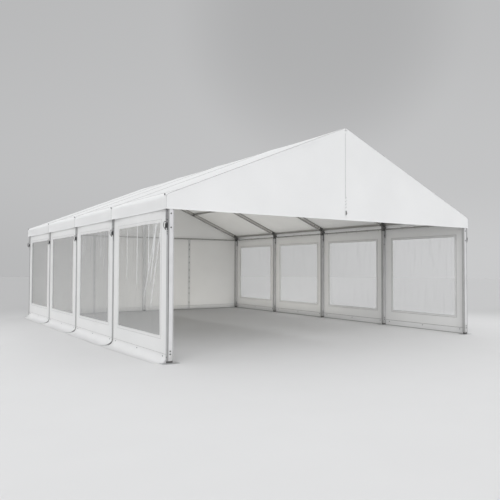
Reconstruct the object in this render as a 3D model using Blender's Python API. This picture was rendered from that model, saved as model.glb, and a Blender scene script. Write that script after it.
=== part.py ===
"""Marquee tent: five aluminium portals, four 3 m bays long and 9 m wide, under a white fabric skin.

Metres, +Z up. The open gable faces -Y, and portals and bays are numbered from it. Pieces are drawn about the
middle portal's centre, the right-hand ones at +X, which are turned half round for the left. The empty that
carries them all puts the origin on the ground at the middle of the whole footprint, flaps and plates included.
"""

import math

import bmesh
import bpy
from mathutils import Matrix, Vector

# Plan
BAYS = 4
BAY = 3.0
WIDTH = 9.0  # over the uprights
FRAME_Y = [(n - BAYS / 2) * BAY for n in range(BAYS + 1)]
BAY_Y = [(n + 0.5 - BAYS / 2) * BAY for n in range(BAYS)]

# The profile of uprights, rafters and gable post, with a groove for a fabric bead near each corner
PROFILE_WIDTH = 0.122
PROFILE_DEPTH = 0.068
GROOVE_WIDTH = 0.0086
GROOVE_DEPTH = 0.0075
GROOVE_EDGE = 0.010

# Portal
UPRIGHT_X = WIDTH / 2 - PROFILE_WIDTH / 2
UPRIGHT_BOTTOM = 0.05
UPRIGHT_TOP = 3.01
PITCH = math.atan(0.416)
ALONG = Vector((-math.cos(PITCH), 0, math.sin(PITCH)))  # up the right-hand slope
NORMAL = Vector((math.sin(PITCH), 0, math.cos(PITCH)))
KNEE = Vector((UPRIGHT_X, 0, 3.174))  # where the centre lines of upright and rafter meet
APEX = KNEE + ALONG * (UPRIGHT_X / math.cos(PITCH))
RAFTER_START = 0.16
RAFTER_END = (APEX - KNEE).length - 0.10

# The knee block on each upright and the apex block of each pair of rafters
JOINT_SLIMMER = 0.001  # than the profile, all round
JOINT_BITE = 0.02  # into the profile that it is one piece with
KNEE_CHAMFER = 0.015

# Flat steel inserts: one from the foot up into the upright, and one from the knee up into the rafter
INSERT_WIDTH = 0.060
INSERT_DEPTH = 0.020
FOOT_INSERT_TOP = 0.25
KNEE_ARM = 0.50

# Base plate, with a stake hole at each outer corner
PLATE_WIDTH = 0.34
PLATE_DEPTH = 0.20
PLATE_THICK = 0.010
NECK_WIDTH = 0.110
NECK_DEPTH = 0.056
STAKE_HOLE_RADIUS = 0.013
STAKE_HOLE_EDGE = 0.030

# Purlins and rails along the tent, held by bolts through the portals
EAVE_PURLIN_X = 4.42
EAVE_PURLIN_Z = 3.192
EAVE_PURLIN_WIDTH = 0.040
EAVE_PURLIN_HEIGHT = 0.060
MID_PURLIN_X = 2.25
MID_PURLIN_LIFT = 0.008
MID_PURLIN_WIDTH = 0.040
MID_PURLIN_HEIGHT = 0.060
RIDGE_PURLIN_Z = 5.03
RIDGE_PURLIN_WIDTH = 0.040
RIDGE_PURLIN_HEIGHT = 0.065
WALL_RAIL_X = 4.455
WALL_RAIL_Z = 3.05
BACK_RAIL_Y = 0.010  # behind the centre of the last portal
BACK_RAIL_Z = 3.035
RAIL_RADIUS = 0.020
BOLT_RADIUS = 0.008
ROUND_SIDES = 8

# Fabric
SHEET = 0.003
ROOF_LINE = APEX + NORMAL * (PROFILE_WIDTH / 2)  # a point on the line of the rafters' top edges
VALANCE_X = 4.5535
VALANCE_BOTTOM = 2.92
EAVE_RADIUS = 0.09
EAVE_STEPS = 5
ROOF_SEAM = 0.001
ROOF_OVERHANG = 0.047
GABLE_SET_BACK = 0.001
WALL_X = WIDTH / 2 - GROOVE_EDGE - GROOVE_WIDTH / 2
WALL_TOP = 3.05
FLAP_TURN_OUT = 0.22
FLAP_TURN_HEIGHT = 0.14
FLAP_REACH = 0.305
FLAP_STEPS = 4
BACK_WALL_OFF = 0.004
BACK_SEAM_X = 2.07  # where the end wall's three sheets are laced together
BEAD_BOTTOM = 0.15
BEAD_TOP = 2.985
WINDOW_WIDTH = 2.28
WINDOW_BOTTOM = 0.495
WINDOW_TOP = 2.685
WINDOW_LAP = 0.03
PANE = 0.002

GAP = 0.0003  # between meshes that touch
HALF_TURN = math.pi

# How far the footprint reaches from the middle portal, and so where its own middle is
FRONT_REACH = FRAME_Y[-1] + PLATE_DEPTH / 2
BACK_REACH = FRAME_Y[-1] + PROFILE_DEPTH / 2 + BACK_WALL_OFF + FLAP_REACH
MIDDLE_PORTAL_Y = (FRONT_REACH - BACK_REACH) / 2


def clear_scene():
    for obj in list(bpy.data.objects):
        bpy.data.objects.remove(obj, do_unlink=True)


def make_material(name, colour, roughness, metallic):
    material = bpy.data.materials.new(name)
    material.use_nodes = True
    shader = material.node_tree.nodes["Principled BSDF"]
    shader.inputs["Base Color"].default_value = (*colour, 1)
    shader.inputs["Roughness"].default_value = roughness
    shader.inputs["Metallic"].default_value = metallic
    return material


def prism(outline, axis, start, end):
    """An outline drawn across an axis, in the other two axes' order, and extruded along it."""
    place = {
        "X": lambda a, b: (start, a, b),
        "Y": lambda a, b: (a, start, b),
        "Z": lambda a, b: (a, b, start),
    }[axis]
    bm = bmesh.new()
    face = bm.faces.new([bm.verts.new(place(a, b)) for a, b in outline])
    grown = bmesh.ops.extrude_face_region(bm, geom=[face])["geom"]
    step = Vector((end - start if name == axis else 0 for name in "XYZ"))
    bmesh.ops.translate(bm, vec=step, verts=[v for v in grown if isinstance(v, bmesh.types.BMVert)])
    bmesh.ops.recalc_face_normals(bm, faces=bm.faces)
    mesh = bpy.data.meshes.new("shape")
    bm.to_mesh(mesh)
    bm.free()
    return mesh


def rectangle(a0, a1, b0, b1):
    return [(a0, b0), (a1, b0), (a1, b1), (a0, b1)]


def circle(a, b, radius):
    """A round section with flats at its sides, top and bottom."""
    angles = [(n + 0.5) * 2 * math.pi / ROUND_SIDES for n in range(ROUND_SIDES)]
    reach = radius / math.cos(math.pi / ROUND_SIDES)
    return [(a + reach * math.cos(t), b + reach * math.sin(t)) for t in angles]


def moved(mesh, matrix):
    copy = mesh.copy()
    copy.transform(matrix)
    return copy


def turned(mesh):
    return moved(mesh, Matrix.Rotation(HALF_TURN, 4, "Z"))


def combine(base, tools, operation):
    """The mesh of base after a Boolean with each tool in turn."""
    target = bpy.data.objects.new("base", base)
    bpy.context.scene.collection.objects.link(target)
    helpers = [target]
    for tool in tools:
        helper = bpy.data.objects.new("tool", tool)
        helper.hide_render = True
        helper.display_type = "WIRE"
        bpy.context.scene.collection.objects.link(helper)
        helpers.append(helper)
        modifier = target.modifiers.new(operation.title(), "BOOLEAN")
        modifier.operation = operation
        modifier.solver = "EXACT"
        modifier.object = helper
    graph = bpy.context.evaluated_depsgraph_get()
    result = bpy.data.meshes.new_from_object(target.evaluated_get(graph))
    for helper in helpers:
        bpy.data.objects.remove(helper, do_unlink=True)
    return result


def join(*meshes):
    return combine(meshes[0], meshes[1:], "UNION")


def cut(mesh, *cutters):
    return combine(mesh, cutters, "DIFFERENCE")


def add_tent():
    """The empty at the middle portal that carries every piece."""
    tent = bpy.data.objects.new("tent", None)
    bpy.context.scene.collection.objects.link(tent)
    tent.location.y = MIDDLE_PORTAL_Y


def add(name, mesh, material, x=0, y=0, half_turn=False):
    obj = bpy.data.objects.new(name, mesh)
    bpy.context.scene.collection.objects.link(obj)
    obj.parent = bpy.data.objects["tent"]
    if not mesh.materials:
        mesh.materials.append(material)
    obj.location = (x, y, 0)
    obj.rotation_euler.z = HALF_TURN if half_turn else 0
    return obj


def sheet_outline(path, thickness):
    """A line of points thickened to both sides, with mitred corners."""
    points = [Vector(p) for p in path]
    runs = [(b - a).normalized() for a, b in zip(points, points[1:])]
    normals = [Vector((-run.y, run.x)) for run in runs]
    corners = [
        (before + after) / (1 + before.dot(after))
        for before, after in zip([normals[0]] + normals, normals + [normals[-1]])
    ]
    one_side = [p + c * thickness / 2 for p, c in zip(points, corners)]
    other_side = [p - c * thickness / 2 for p, c in zip(points, corners)]
    return one_side + other_side[::-1]


def profile_outline():
    half_width, half_depth = PROFILE_WIDTH / 2, PROFILE_DEPTH / 2
    outer = half_width - GROOVE_EDGE
    inner = outer - GROOVE_WIDTH
    floor = half_depth - GROOVE_DEPTH
    right = [(half_width, half_depth), (outer, half_depth), (outer, floor), (inner, floor), (inner, half_depth)]
    face = right + [(-a, b) for a, b in reversed(right)]
    return face + [(-a, -b) for a, b in face]


def insert_box(start, end, spare=0.0):
    """The flat insert along Z, or with spare the pocket that takes it."""
    half_width, half_depth = INSERT_WIDTH / 2 + spare, INSERT_DEPTH / 2 + spare
    return prism(rectangle(-half_width, half_width, -half_depth, half_depth), "Z", start - spare, end + spare)


def post_mesh(top):
    """A length of the profile from just above the ground, with a pocket for the foot's insert."""
    return cut(prism(profile_outline(), "Z", UPRIGHT_BOTTOM, top), insert_box(0, FOOT_INSERT_TOP, GAP))


def foot_mesh():
    half_width, half_depth = PLATE_WIDTH / 2, PLATE_DEPTH / 2
    plate = prism(rectangle(-half_width, half_width, -half_depth, half_depth), "Z", 0, PLATE_THICK)
    neck_outline = rectangle(-NECK_WIDTH / 2, NECK_WIDTH / 2, -NECK_DEPTH / 2, NECK_DEPTH / 2)
    neck = prism(neck_outline, "Z", PLATE_THICK / 2, UPRIGHT_BOTTOM - GAP)
    insert = insert_box(PLATE_THICK, FOOT_INSERT_TOP)
    hole_x, hole_y = half_width - STAKE_HOLE_EDGE, half_depth - STAKE_HOLE_EDGE
    holes = [
        prism(circle(hole_x, y, STAKE_HOLE_RADIUS), "Z", -PLATE_THICK, 2 * PLATE_THICK)
        for y in (-hole_y, hole_y)
    ]
    return cut(join(plate, neck, insert), *holes)


def up_the_slope():
    """Takes a shape drawn along Z to the right-hand rafter's centre line, with the knee at its start."""
    across = Vector((0, 1, 0))
    turn = Matrix((NORMAL, across, ALONG)).transposed().to_4x4()
    return Matrix.Translation(KNEE) @ turn


def joint_corner(along, side):
    """A point of a joint's section in X and Z, at its top (1) or bottom (-1) edge along the slope."""
    point = KNEE + ALONG * along + NORMAL * (side * (PROFILE_WIDTH / 2 - JOINT_SLIMMER))
    return point.x, point.z


def purlin_bolt(x, z, radius):
    end = FRAME_Y[-1] + PROFILE_DEPTH / 2
    return prism(circle(x, z, radius), "Y", -end, end)


def mid_purlin_centre():
    on_line = KNEE + ALONG * ((UPRIGHT_X - MID_PURLIN_X) / math.cos(PITCH))
    return on_line + NORMAL * MID_PURLIN_LIFT


def apex_outline():
    bottom, top = joint_corner(RAFTER_END - JOINT_BITE, -1), joint_corner(RAFTER_END - JOINT_BITE, 1)
    rise = (PROFILE_WIDTH / 2 - JOINT_SLIMMER) / math.cos(PITCH)
    left = [(-x, z) for x, z in (top, bottom)]
    return [bottom, top, (0, APEX.z + rise)] + left + [(0, APEX.z - rise)]


def joint_block(outline):
    half_depth = PROFILE_DEPTH / 2 - JOINT_SLIMMER
    return prism(outline, "Y", -half_depth, half_depth)


def bolt_holes(*places):
    """Cutters through one portal for the bolts of the purlins and rails, at each X and Z."""
    return [prism(circle(x, z, BOLT_RADIUS + GAP), "Y", -PROFILE_DEPTH, PROFILE_DEPTH) for x, z in places]


def rafter_pair_mesh():
    """Two rafters made one by the block at the apex, with a pocket for a knee's insert at each lower end."""
    rafter = prism(profile_outline(), "Z", RAFTER_START, RAFTER_END)
    rafter = cut(rafter, insert_box(0, KNEE_ARM, GAP))
    right = moved(rafter, up_the_slope())
    pair = join(right, turned(right), joint_block(apex_outline()))
    mid = mid_purlin_centre()
    return cut(pair, *bolt_holes((0, RIDGE_PURLIN_Z), (mid.x, mid.z), (-mid.x, mid.z)))


def knee_outline():
    """The corner block's outline, whose right-hand side is chamfered under the eave."""
    outside = WIDTH / 2 - JOINT_SLIMMER
    inside = WIDTH / 2 - PROFILE_WIDTH + JOINT_SLIMMER
    foot = UPRIGHT_TOP - JOINT_BITE
    top, bottom = joint_corner(RAFTER_START - GAP, 1), joint_corner(RAFTER_START - GAP, -1)
    fall = math.tan(PITCH)
    corner_z = top[1] - (outside - top[0]) * fall
    chamfer = [(outside, corner_z - KNEE_CHAMFER), (outside - KNEE_CHAMFER, corner_z + KNEE_CHAMFER * fall)]
    under = (inside, bottom[1] - (inside - bottom[0]) * fall)
    return [(inside, foot), (outside, foot)] + chamfer + [top, bottom, under]


def upright_mesh():
    """A post with the knee block on it, and the insert that runs up from the knee into the rafter."""
    post = moved(post_mesh(UPRIGHT_TOP), Matrix.Translation((UPRIGHT_X, 0, 0)))
    arm = moved(insert_box(0, KNEE_ARM), up_the_slope())
    upright = join(post, joint_block(knee_outline()), arm)
    holes = bolt_holes((WALL_RAIL_X, WALL_RAIL_Z), (EAVE_PURLIN_X, EAVE_PURLIN_Z))
    return moved(cut(upright, *holes), Matrix.Translation((-UPRIGHT_X, 0, 0)))


def bars_on_bolt(section, x, z):
    """A bar in each bay from portal to portal, joined through the portals by a bolt."""
    half = BAY / 2 - PROFILE_DEPTH / 2 - GAP
    bars = [prism(section, "Y", y - half, y + half) for y in BAY_Y]
    return join(purlin_bolt(x, z, BOLT_RADIUS), *bars)


def mid_purlin_mesh():
    """The bar's section leans with the slope."""
    centre = mid_purlin_centre()
    half_width, half_height = MID_PURLIN_WIDTH / 2, MID_PURLIN_HEIGHT / 2
    corners = [
        centre + ALONG * a + NORMAL * b
        for a, b in rectangle(-half_height, half_height, -half_width, half_width)
    ]
    return bars_on_bolt([(corner.x, corner.z) for corner in corners], centre.x, centre.z)


def upright_section(x, z, width, height):
    return rectangle(x - width / 2, x + width / 2, z - height / 2, z + height / 2)


def ridge_purlin_mesh():
    section = upright_section(0, RIDGE_PURLIN_Z, RIDGE_PURLIN_WIDTH, RIDGE_PURLIN_HEIGHT)
    return bars_on_bolt(section, 0, RIDGE_PURLIN_Z)


def eave_purlin_mesh():
    section = upright_section(EAVE_PURLIN_X, EAVE_PURLIN_Z, EAVE_PURLIN_WIDTH, EAVE_PURLIN_HEIGHT)
    return bars_on_bolt(section, EAVE_PURLIN_X, EAVE_PURLIN_Z)


def wall_rail_mesh():
    return bars_on_bolt(circle(WALL_RAIL_X, WALL_RAIL_Z, RAIL_RADIUS), WALL_RAIL_X, WALL_RAIL_Z)


def back_rail_mesh():
    """The rail behind the gable post, in two halves on a bolt through it."""
    near = PROFILE_WIDTH / 2 + GAP
    far = WIDTH / 2 - PROFILE_WIDTH - GAP
    section = circle(BACK_RAIL_Y, BACK_RAIL_Z, RAIL_RADIUS)
    bolt = prism(circle(BACK_RAIL_Y, BACK_RAIL_Z, BOLT_RADIUS), "X", -2 * near, 2 * near)
    return join(bolt, prism(section, "X", near, far), prism(section, "X", -far, -near))


def gable_post_mesh():
    """The post under the last portal's apex block, whose underside it meets at its two top edges."""
    half_joint = PROFILE_WIDTH / 2 - JOINT_SLIMMER
    top = APEX.z - half_joint / math.cos(PITCH) - PROFILE_WIDTH / 2 * math.tan(PITCH) - GAP
    hole = prism(circle(BACK_RAIL_Y, BACK_RAIL_Z, BOLT_RADIUS + GAP), "X", -PROFILE_WIDTH, PROFILE_WIDTH)
    return cut(post_mesh(top), hole)


def roof_path(inward=0.0):
    """The middle of the roof sheet in X and Z, from one valance over the ridge to the other."""
    lift = GAP + SHEET / 2 - inward
    side_x = VALANCE_X - inward
    radius = EAVE_RADIUS - inward
    start = ROOF_LINE + NORMAL * lift
    centre_x = side_x - radius
    line_z = start.z - (centre_x - start.x) * math.tan(PITCH)
    centre_z = line_z - radius / math.cos(PITCH)
    turn = math.pi / 2 - PITCH
    arc = [
        (centre_x + radius * math.cos(turn * n / EAVE_STEPS), centre_z + radius * math.sin(turn * n / EAVE_STEPS))
        for n in range(EAVE_STEPS + 1)
    ]
    ridge = (0, start.z + start.x * math.tan(PITCH))
    right = [(side_x, VALANCE_BOTTOM)] + arc
    return right + [ridge] + [(-x, z) for x, z in reversed(right)]


def roof_panel_mesh(start, end):
    return prism(sheet_outline(roof_path(), SHEET), "Y", start, end)


def gable_mesh():
    """The triangle that closes the last portal, down to the line of the valances."""
    outer = ROOF_OVERHANG - GABLE_SET_BACK
    return prism(roof_path(inward=SHEET / 2 + GAP), "Y", outer - SHEET, outer)


def flap_path(out, top):
    """A wall's line from its top down to the ground and out, as distance out and height."""
    ground = SHEET / 2
    turn = [
        (
            out + FLAP_TURN_OUT * (1 - math.cos(math.pi / 2 * n / FLAP_STEPS)),
            ground + FLAP_TURN_HEIGHT * (1 - math.sin(math.pi / 2 * n / FLAP_STEPS)),
        )
        for n in range(FLAP_STEPS + 1)
    ]
    return [(out, top)] + turn + [(out + FLAP_REACH, ground)]


def bead_width():
    return GROOVE_WIDTH / 2 - GAP


def side_wall_mesh():
    """One bay's wall: a sheet with a bead in the groove of each upright, a window hole and a ground flap."""
    half = BAY / 2 - PROFILE_DEPTH / 2 - GAP
    sheet = prism(sheet_outline(flap_path(WALL_X, WALL_TOP), SHEET), "Y", -half, half)
    section = rectangle(-bead_width(), bead_width(), half - SHEET, half + GROOVE_DEPTH)
    bead = prism([(WALL_X + x, y) for x, y in section], "Z", BEAD_BOTTOM, BEAD_TOP)
    other_bead = prism([(WALL_X + x, -y) for x, y in section], "Z", BEAD_BOTTOM, BEAD_TOP)
    half_window = WINDOW_WIDTH / 2
    opening = prism(
        rectangle(-half_window, half_window, WINDOW_BOTTOM, WINDOW_TOP), "X", WALL_X - SHEET, WALL_X + SHEET
    )
    return cut(join(sheet, bead, other_bead), opening)


def window_mesh():
    """The clear sheet welded inside the wall, lapping its hole all round."""
    outer = WALL_X - SHEET / 2 - GAP
    half = WINDOW_WIDTH / 2 + WINDOW_LAP
    outline = rectangle(-half, half, WINDOW_BOTTOM - WINDOW_LAP, WINDOW_TOP + WINDOW_LAP)
    return prism(outline, "X", outer - PANE, outer)


def back_wall_line():
    """The middle of the end wall's sheets, behind the last portal."""
    return FRAME_Y[-1] + PROFILE_DEPTH / 2 + BACK_WALL_OFF


def back_wall_middle_mesh():
    half = BACK_SEAM_X - GAP / 2
    return prism(sheet_outline(flap_path(back_wall_line(), WALL_TOP), SHEET), "X", -half, half)


def back_wall_right_mesh():
    """The sheet from the laced seam to the corner, with a bead in the corner upright's outer groove."""
    outline = sheet_outline(flap_path(back_wall_line(), WALL_TOP), SHEET)
    sheet = prism(outline, "X", BACK_SEAM_X + GAP / 2, WALL_X + bead_width())
    groove_floor = FRAME_Y[-1] + PROFILE_DEPTH / 2 - GROOVE_DEPTH
    section = rectangle(WALL_X - bead_width(), WALL_X + bead_width(), groove_floor + GAP, back_wall_line())
    return join(sheet, prism(section, "Z", BEAD_BOTTOM, BEAD_TOP))


def back_wall_left_mesh():
    """The right-hand sheet's mirror image, with its faces turned out again."""
    mirrored = moved(back_wall_right_mesh(), Matrix.Scale(-1, 4, (1, 0, 0)))
    mirrored.flip_normals()
    return mirrored


def build_frame():
    aluminium = make_material("aluminium", (0.62, 0.63, 0.64), 0.42, 0.9)
    steel = make_material("galvanised steel", (0.40, 0.41, 0.42), 0.5, 0.9)
    upright = upright_mesh()
    foot = foot_mesh()
    rafter_pair = rafter_pair_mesh()
    for number, y in enumerate(FRAME_Y, 1):
        for side, x in (("left", -UPRIGHT_X), ("right", UPRIGHT_X)):
            add(f"upright_{side}_{number}", upright, aluminium, x, y, half_turn=side == "left")
            add(f"foot_{side}_{number}", foot, steel, x, y, half_turn=side == "left")
        add(f"rafter_pair_{number}", rafter_pair, aluminium, y=y)
    eave_purlin, wall_rail, mid_purlin = eave_purlin_mesh(), wall_rail_mesh(), mid_purlin_mesh()
    for side, half_turn in (("left", True), ("right", False)):
        add(f"eave_purlin_{side}", eave_purlin, aluminium, half_turn=half_turn)
        add(f"wall_rail_{side}", wall_rail, aluminium, half_turn=half_turn)
        add(f"mid_purlin_{side}", mid_purlin, aluminium, half_turn=half_turn)
    add("ridge_purlin", ridge_purlin_mesh(), aluminium)
    add("gable_post", gable_post_mesh(), aluminium, y=FRAME_Y[-1])
    add("foot_gable_post", foot, steel, y=FRAME_Y[-1])
    add("back_rail", back_rail_mesh(), aluminium, y=FRAME_Y[-1])


def build_skin():
    fabric = make_material("white fabric", (0.86, 0.87, 0.87), 0.5, 0.0)
    clear = make_material("clear window", (0.72, 0.76, 0.78), 0.15, 0.0)
    for number, y in enumerate(BAY_Y, 1):
        start = y - BAY / 2 + ROOF_SEAM
        end = y + BAY / 2 - ROOF_SEAM
        if number == 1:
            start = FRAME_Y[0] - ROOF_OVERHANG
        if number == BAYS:
            end = FRAME_Y[-1] + ROOF_OVERHANG
        add(f"roof_panel_{number}", roof_panel_mesh(start, end), fabric)
    side_wall, window = side_wall_mesh(), window_mesh()
    for number, y in enumerate(BAY_Y, 1):
        for side, half_turn in (("left", True), ("right", False)):
            add(f"side_wall_{side}_{number}", side_wall, fabric, y=y, half_turn=half_turn)
            add(f"window_{side}_{number}", window, clear, y=y, half_turn=half_turn)
    gable = gable_mesh()
    add("back_gable", gable, fabric, y=FRAME_Y[-1])
    add("front_gable", gable, fabric, y=FRAME_Y[0], half_turn=True)
    add("back_wall_left", back_wall_left_mesh(), fabric)
    add("back_wall_middle", back_wall_middle_mesh(), fabric)
    add("back_wall_right", back_wall_right_mesh(), fabric)


clear_scene()
add_tent()
build_frame()
build_skin()
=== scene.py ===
# %% [markdown]
# # A frame marquee in white coated fabric
# Five aluminium portals carry a taut white skin with clear windows. The CAD frame is loaded first and stays where
# it is: the profiles, purlins, rails and feet keep their shapes and get better finishes. The skin is made again here
# as thin cloth with hems, welds and folds, because a 3 mm slab of CAD fabric reads as board.

# %% Load the frame
import math
import random

import bmesh
import bpy
import numpy as np
from mathutils import Matrix, Vector


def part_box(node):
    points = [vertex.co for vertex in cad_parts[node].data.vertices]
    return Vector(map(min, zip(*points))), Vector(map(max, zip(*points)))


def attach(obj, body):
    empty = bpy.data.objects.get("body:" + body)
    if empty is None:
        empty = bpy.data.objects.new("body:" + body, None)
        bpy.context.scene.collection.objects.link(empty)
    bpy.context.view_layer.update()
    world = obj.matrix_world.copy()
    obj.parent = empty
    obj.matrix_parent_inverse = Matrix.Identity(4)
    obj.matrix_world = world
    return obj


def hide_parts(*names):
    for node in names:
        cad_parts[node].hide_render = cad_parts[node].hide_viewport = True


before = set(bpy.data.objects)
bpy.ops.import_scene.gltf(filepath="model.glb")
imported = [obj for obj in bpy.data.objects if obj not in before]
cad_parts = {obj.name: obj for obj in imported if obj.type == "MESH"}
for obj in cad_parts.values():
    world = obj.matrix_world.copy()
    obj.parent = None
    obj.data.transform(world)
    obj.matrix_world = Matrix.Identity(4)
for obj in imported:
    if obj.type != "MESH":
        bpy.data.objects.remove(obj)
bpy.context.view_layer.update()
scene = bpy.context.scene

# %% [markdown]
# ## The tent's own numbers
# Every fabric piece hangs from the frame, so its place comes from the frame: the portals' centres are read from the
# feet, and the slope and the knee repeat the CAD's values. Metres throughout, with the open gable at -Y.

# %% Places on the frame
BAYS = 4
BAY = 3.0
PORTAL_Y = [sum(corner.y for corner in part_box(f"foot_left_{n}")) / 2 for n in range(1, BAYS + 2)]
BAY_Y = [(a + b) / 2 for a, b in zip(PORTAL_Y, PORTAL_Y[1:])]
HALF_WIDTH = 4.5
PROFILE_WIDTH, PROFILE_DEPTH = 0.122, 0.068
UPRIGHT_X = HALF_WIDTH - PROFILE_WIDTH / 2
SLOPE = 0.416
PITCH = math.atan(SLOPE)
KNEE_Z = 3.174
ROOF_RISE = (PROFILE_WIDTH / 2 + 0.0018) / math.cos(PITCH)  # from the rafters' centre line to the middle of the sheet
RIDGE_Z = KNEE_Z + UPRIGHT_X * SLOPE + ROOF_RISE
WALL_X = 4.4857
WALL_TOP = 3.05
VALANCE_X, VALANCE_BOTTOM, EAVE_RADIUS = 4.5535, 2.92, 0.09
OVERHANG = 0.047
RAIL_X, RAIL_Z = 4.455, 3.05
EAVE_PURLIN_X, EAVE_PURLIN_Z = 4.42, 3.192
CLOTH = 0.0012  # coated fabric
HEM_CLOTH = 0.0030  # where a hem lies on both sides of it
FILM = 0.0008  # clear window film
print("portals at y =", [round(y, 3) for y in PORTAL_Y], "ridge at", round(RIDGE_Z, 3))

# %% [markdown]
# ## Camera
# It stands as a person would, a little left of the open gable. The place and the lens come from fitting the frame's
# own corners to the view, so nothing else in this file has to be nudged to fit.

# %% Camera
camera = bpy.data.objects.new("camera", bpy.data.cameras.new("camera"))
scene.collection.objects.link(camera)
camera.location = (-8.974, -15.853, 1.817)
camera.rotation_euler = (math.radians(91.770), math.radians(-0.178), math.radians(-33.100))
camera.data.lens = 40.35
camera.data.sensor_width = 36
scene.camera = camera

# %% [markdown]
# ## Studio
# A wide pale floor that turns grey with distance stands for a studio cove, and the world gives the light: mid grey
# round the horizon, bright overhead, as a big ceiling of soft boxes would. A sky texture would bring blue light and
# a hard sun, which a white product doesn't want.

# %% Node helpers
def add_node(tree, kind, *values, **settings):
    """A node with its settings, and each value put in or linked to an input: in order, or as (name, value)."""
    made = tree.nodes.new(kind)
    for key, value in settings.items():
        setattr(made, key, value)
    for place, value in enumerate(values):
        name = place
        if isinstance(value, tuple) and isinstance(value[0], str):
            name, value = value
        if isinstance(value, bpy.types.NodeSocket):
            tree.links.new(value, made.inputs[name])
        elif value is not None:
            made.inputs[name].default_value = value
    return made


def maths(tree, operation, *values):
    return add_node(tree, "ShaderNodeMath", *values, operation=operation).outputs[0]


def times(tree, first, *others):
    """The product of two or more values."""
    for other in others:
        first = maths(tree, "MULTIPLY", first, other)
    return first


def vector_maths(tree, operation, *values):
    made = add_node(tree, "ShaderNodeVectorMath", *values, operation=operation)
    return made.outputs["Value" if operation in ("DISTANCE", "DOT_PRODUCT") else "Vector"]


def split(tree, vector):
    """The X, Y and Z of a vector."""
    return add_node(tree, "ShaderNodeSeparateXYZ", vector).outputs


def noise(tree, vector, scale, detail):
    return add_node(tree, "ShaderNodeTexNoise", vector, ("Scale", scale), ("Detail", detail)).outputs[0]


def object_place(tree):
    return add_node(tree, "ShaderNodeTexCoord").outputs["Object"]


def new_material(name, **sockets):
    """A material, its tree and its Principled shader, with plain values on the shader's own sockets."""
    material = bpy.data.materials.new(name)
    material.use_nodes = True
    shader = material.node_tree.nodes["Principled BSDF"]
    for socket, value in sockets.items():
        shader.inputs[socket.replace("_", " ")].default_value = value
    return material, material.node_tree, shader


def wire(tree, node, **values):
    """Links values to a node's inputs, where _ stands for a space in an input's name."""
    for name, value in values.items():
        tree.links.new(value, node.inputs[name.replace("_", " ")])


def ramp(tree, factor, *stops):
    """A colour ramp through (place, colour) stops, where a colour may be one grey."""
    made = add_node(tree, "ShaderNodeValToRGB", factor)
    elements = made.color_ramp.elements
    while len(elements) < len(stops):
        elements.new(0.5)
    for element, (place, colour) in zip(elements, stops):
        element.position = place
        element.color = (colour,) * 3 + (1,) if isinstance(colour, (int, float)) else (*colour, 1)
    return made.outputs["Color"]


def span(tree, value, low, high, new_low=0.0, new_high=1.0, smooth=False):
    """The value's place between low and high, clamped, as a number between two new ends."""
    kind = "SMOOTHSTEP" if smooth else "LINEAR"
    return add_node(tree, "ShaderNodeMapRange", value, low, high, new_low, new_high, interpolation_type=kind).outputs[0]


def mix_colour(tree, factor, a, b):
    made = tree.nodes.new("ShaderNodeMix")
    made.data_type = "RGBA"
    for name, value in (("Factor_Float", factor), ("A_Color", a), ("B_Color", b)):
        socket = next(s for s in made.inputs if s.identifier == name)
        if isinstance(value, bpy.types.NodeSocket):
            tree.links.new(value, socket)
        else:
            socket.default_value = value if isinstance(value, float) else (*value, 1)
    return next(s for s in made.outputs if s.identifier == "Result_Color")


# %% World
HORIZON, CEILING = 0.525, 1.60
LEFT_END, RIGHT_END = Vector((-0.84, 0.54, 0.0)), Vector((0.84, 0.54, 0.0))
CLOUD = Vector((0.59, 0.70, 0.40)).normalized()

world = bpy.data.worlds.new("studio light")
world.use_nodes = True
scene.world = world
tree = world.node_tree
tree.nodes.clear()
direction = add_node(tree, "ShaderNodeTexCoord").outputs["Generated"]
left, right, cloud = [vector_maths(tree, "DOT_PRODUCT", direction, way) for way in (LEFT_END, RIGHT_END, CLOUD)]
height = split(tree, direction)["Z"]
band = span(tree, height, 0.48, 0.66, HORIZON, CEILING, smooth=True)
overhead = span(tree, height, 0.72, 0.98, 1.0, 0.5, smooth=True)
haze = span(tree, height, -0.02, 0.16, 0.97, 1.04, smooth=True)
dull_left = span(tree, left, 0.0, 0.75, 1.0, 0.93, smooth=True)
low_glow = span(tree, height, 0.0, 0.16, 0.17, 0.02, smooth=True)
bright_right = maths(tree, "MULTIPLY_ADD", span(tree, right, 0.93, 1.0, smooth=True), low_glow, 1.0)
upper = span(tree, height, 0.17, 0.45, 1.0, 0.93, smooth=True)
shade = span(tree, cloud, 0.968, 0.9985, 1.0, 0.85, smooth=True)
strength = times(tree, band, overhead, haze, dull_left, bright_right, upper, shade)
background = add_node(tree, "ShaderNodeBackground", (0.985, 0.99, 1.0, 1), strength)
add_node(tree, "ShaderNodeOutputWorld", background.outputs[0])

# %% Floor
FLOOR_NEAR, FLOOR_FAR = 0.668, 0.435
PALEST = (-1.2, -6.3, 0.0)
RIGHT_REAR = Vector((0.93, 0.37, 0.0))

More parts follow.
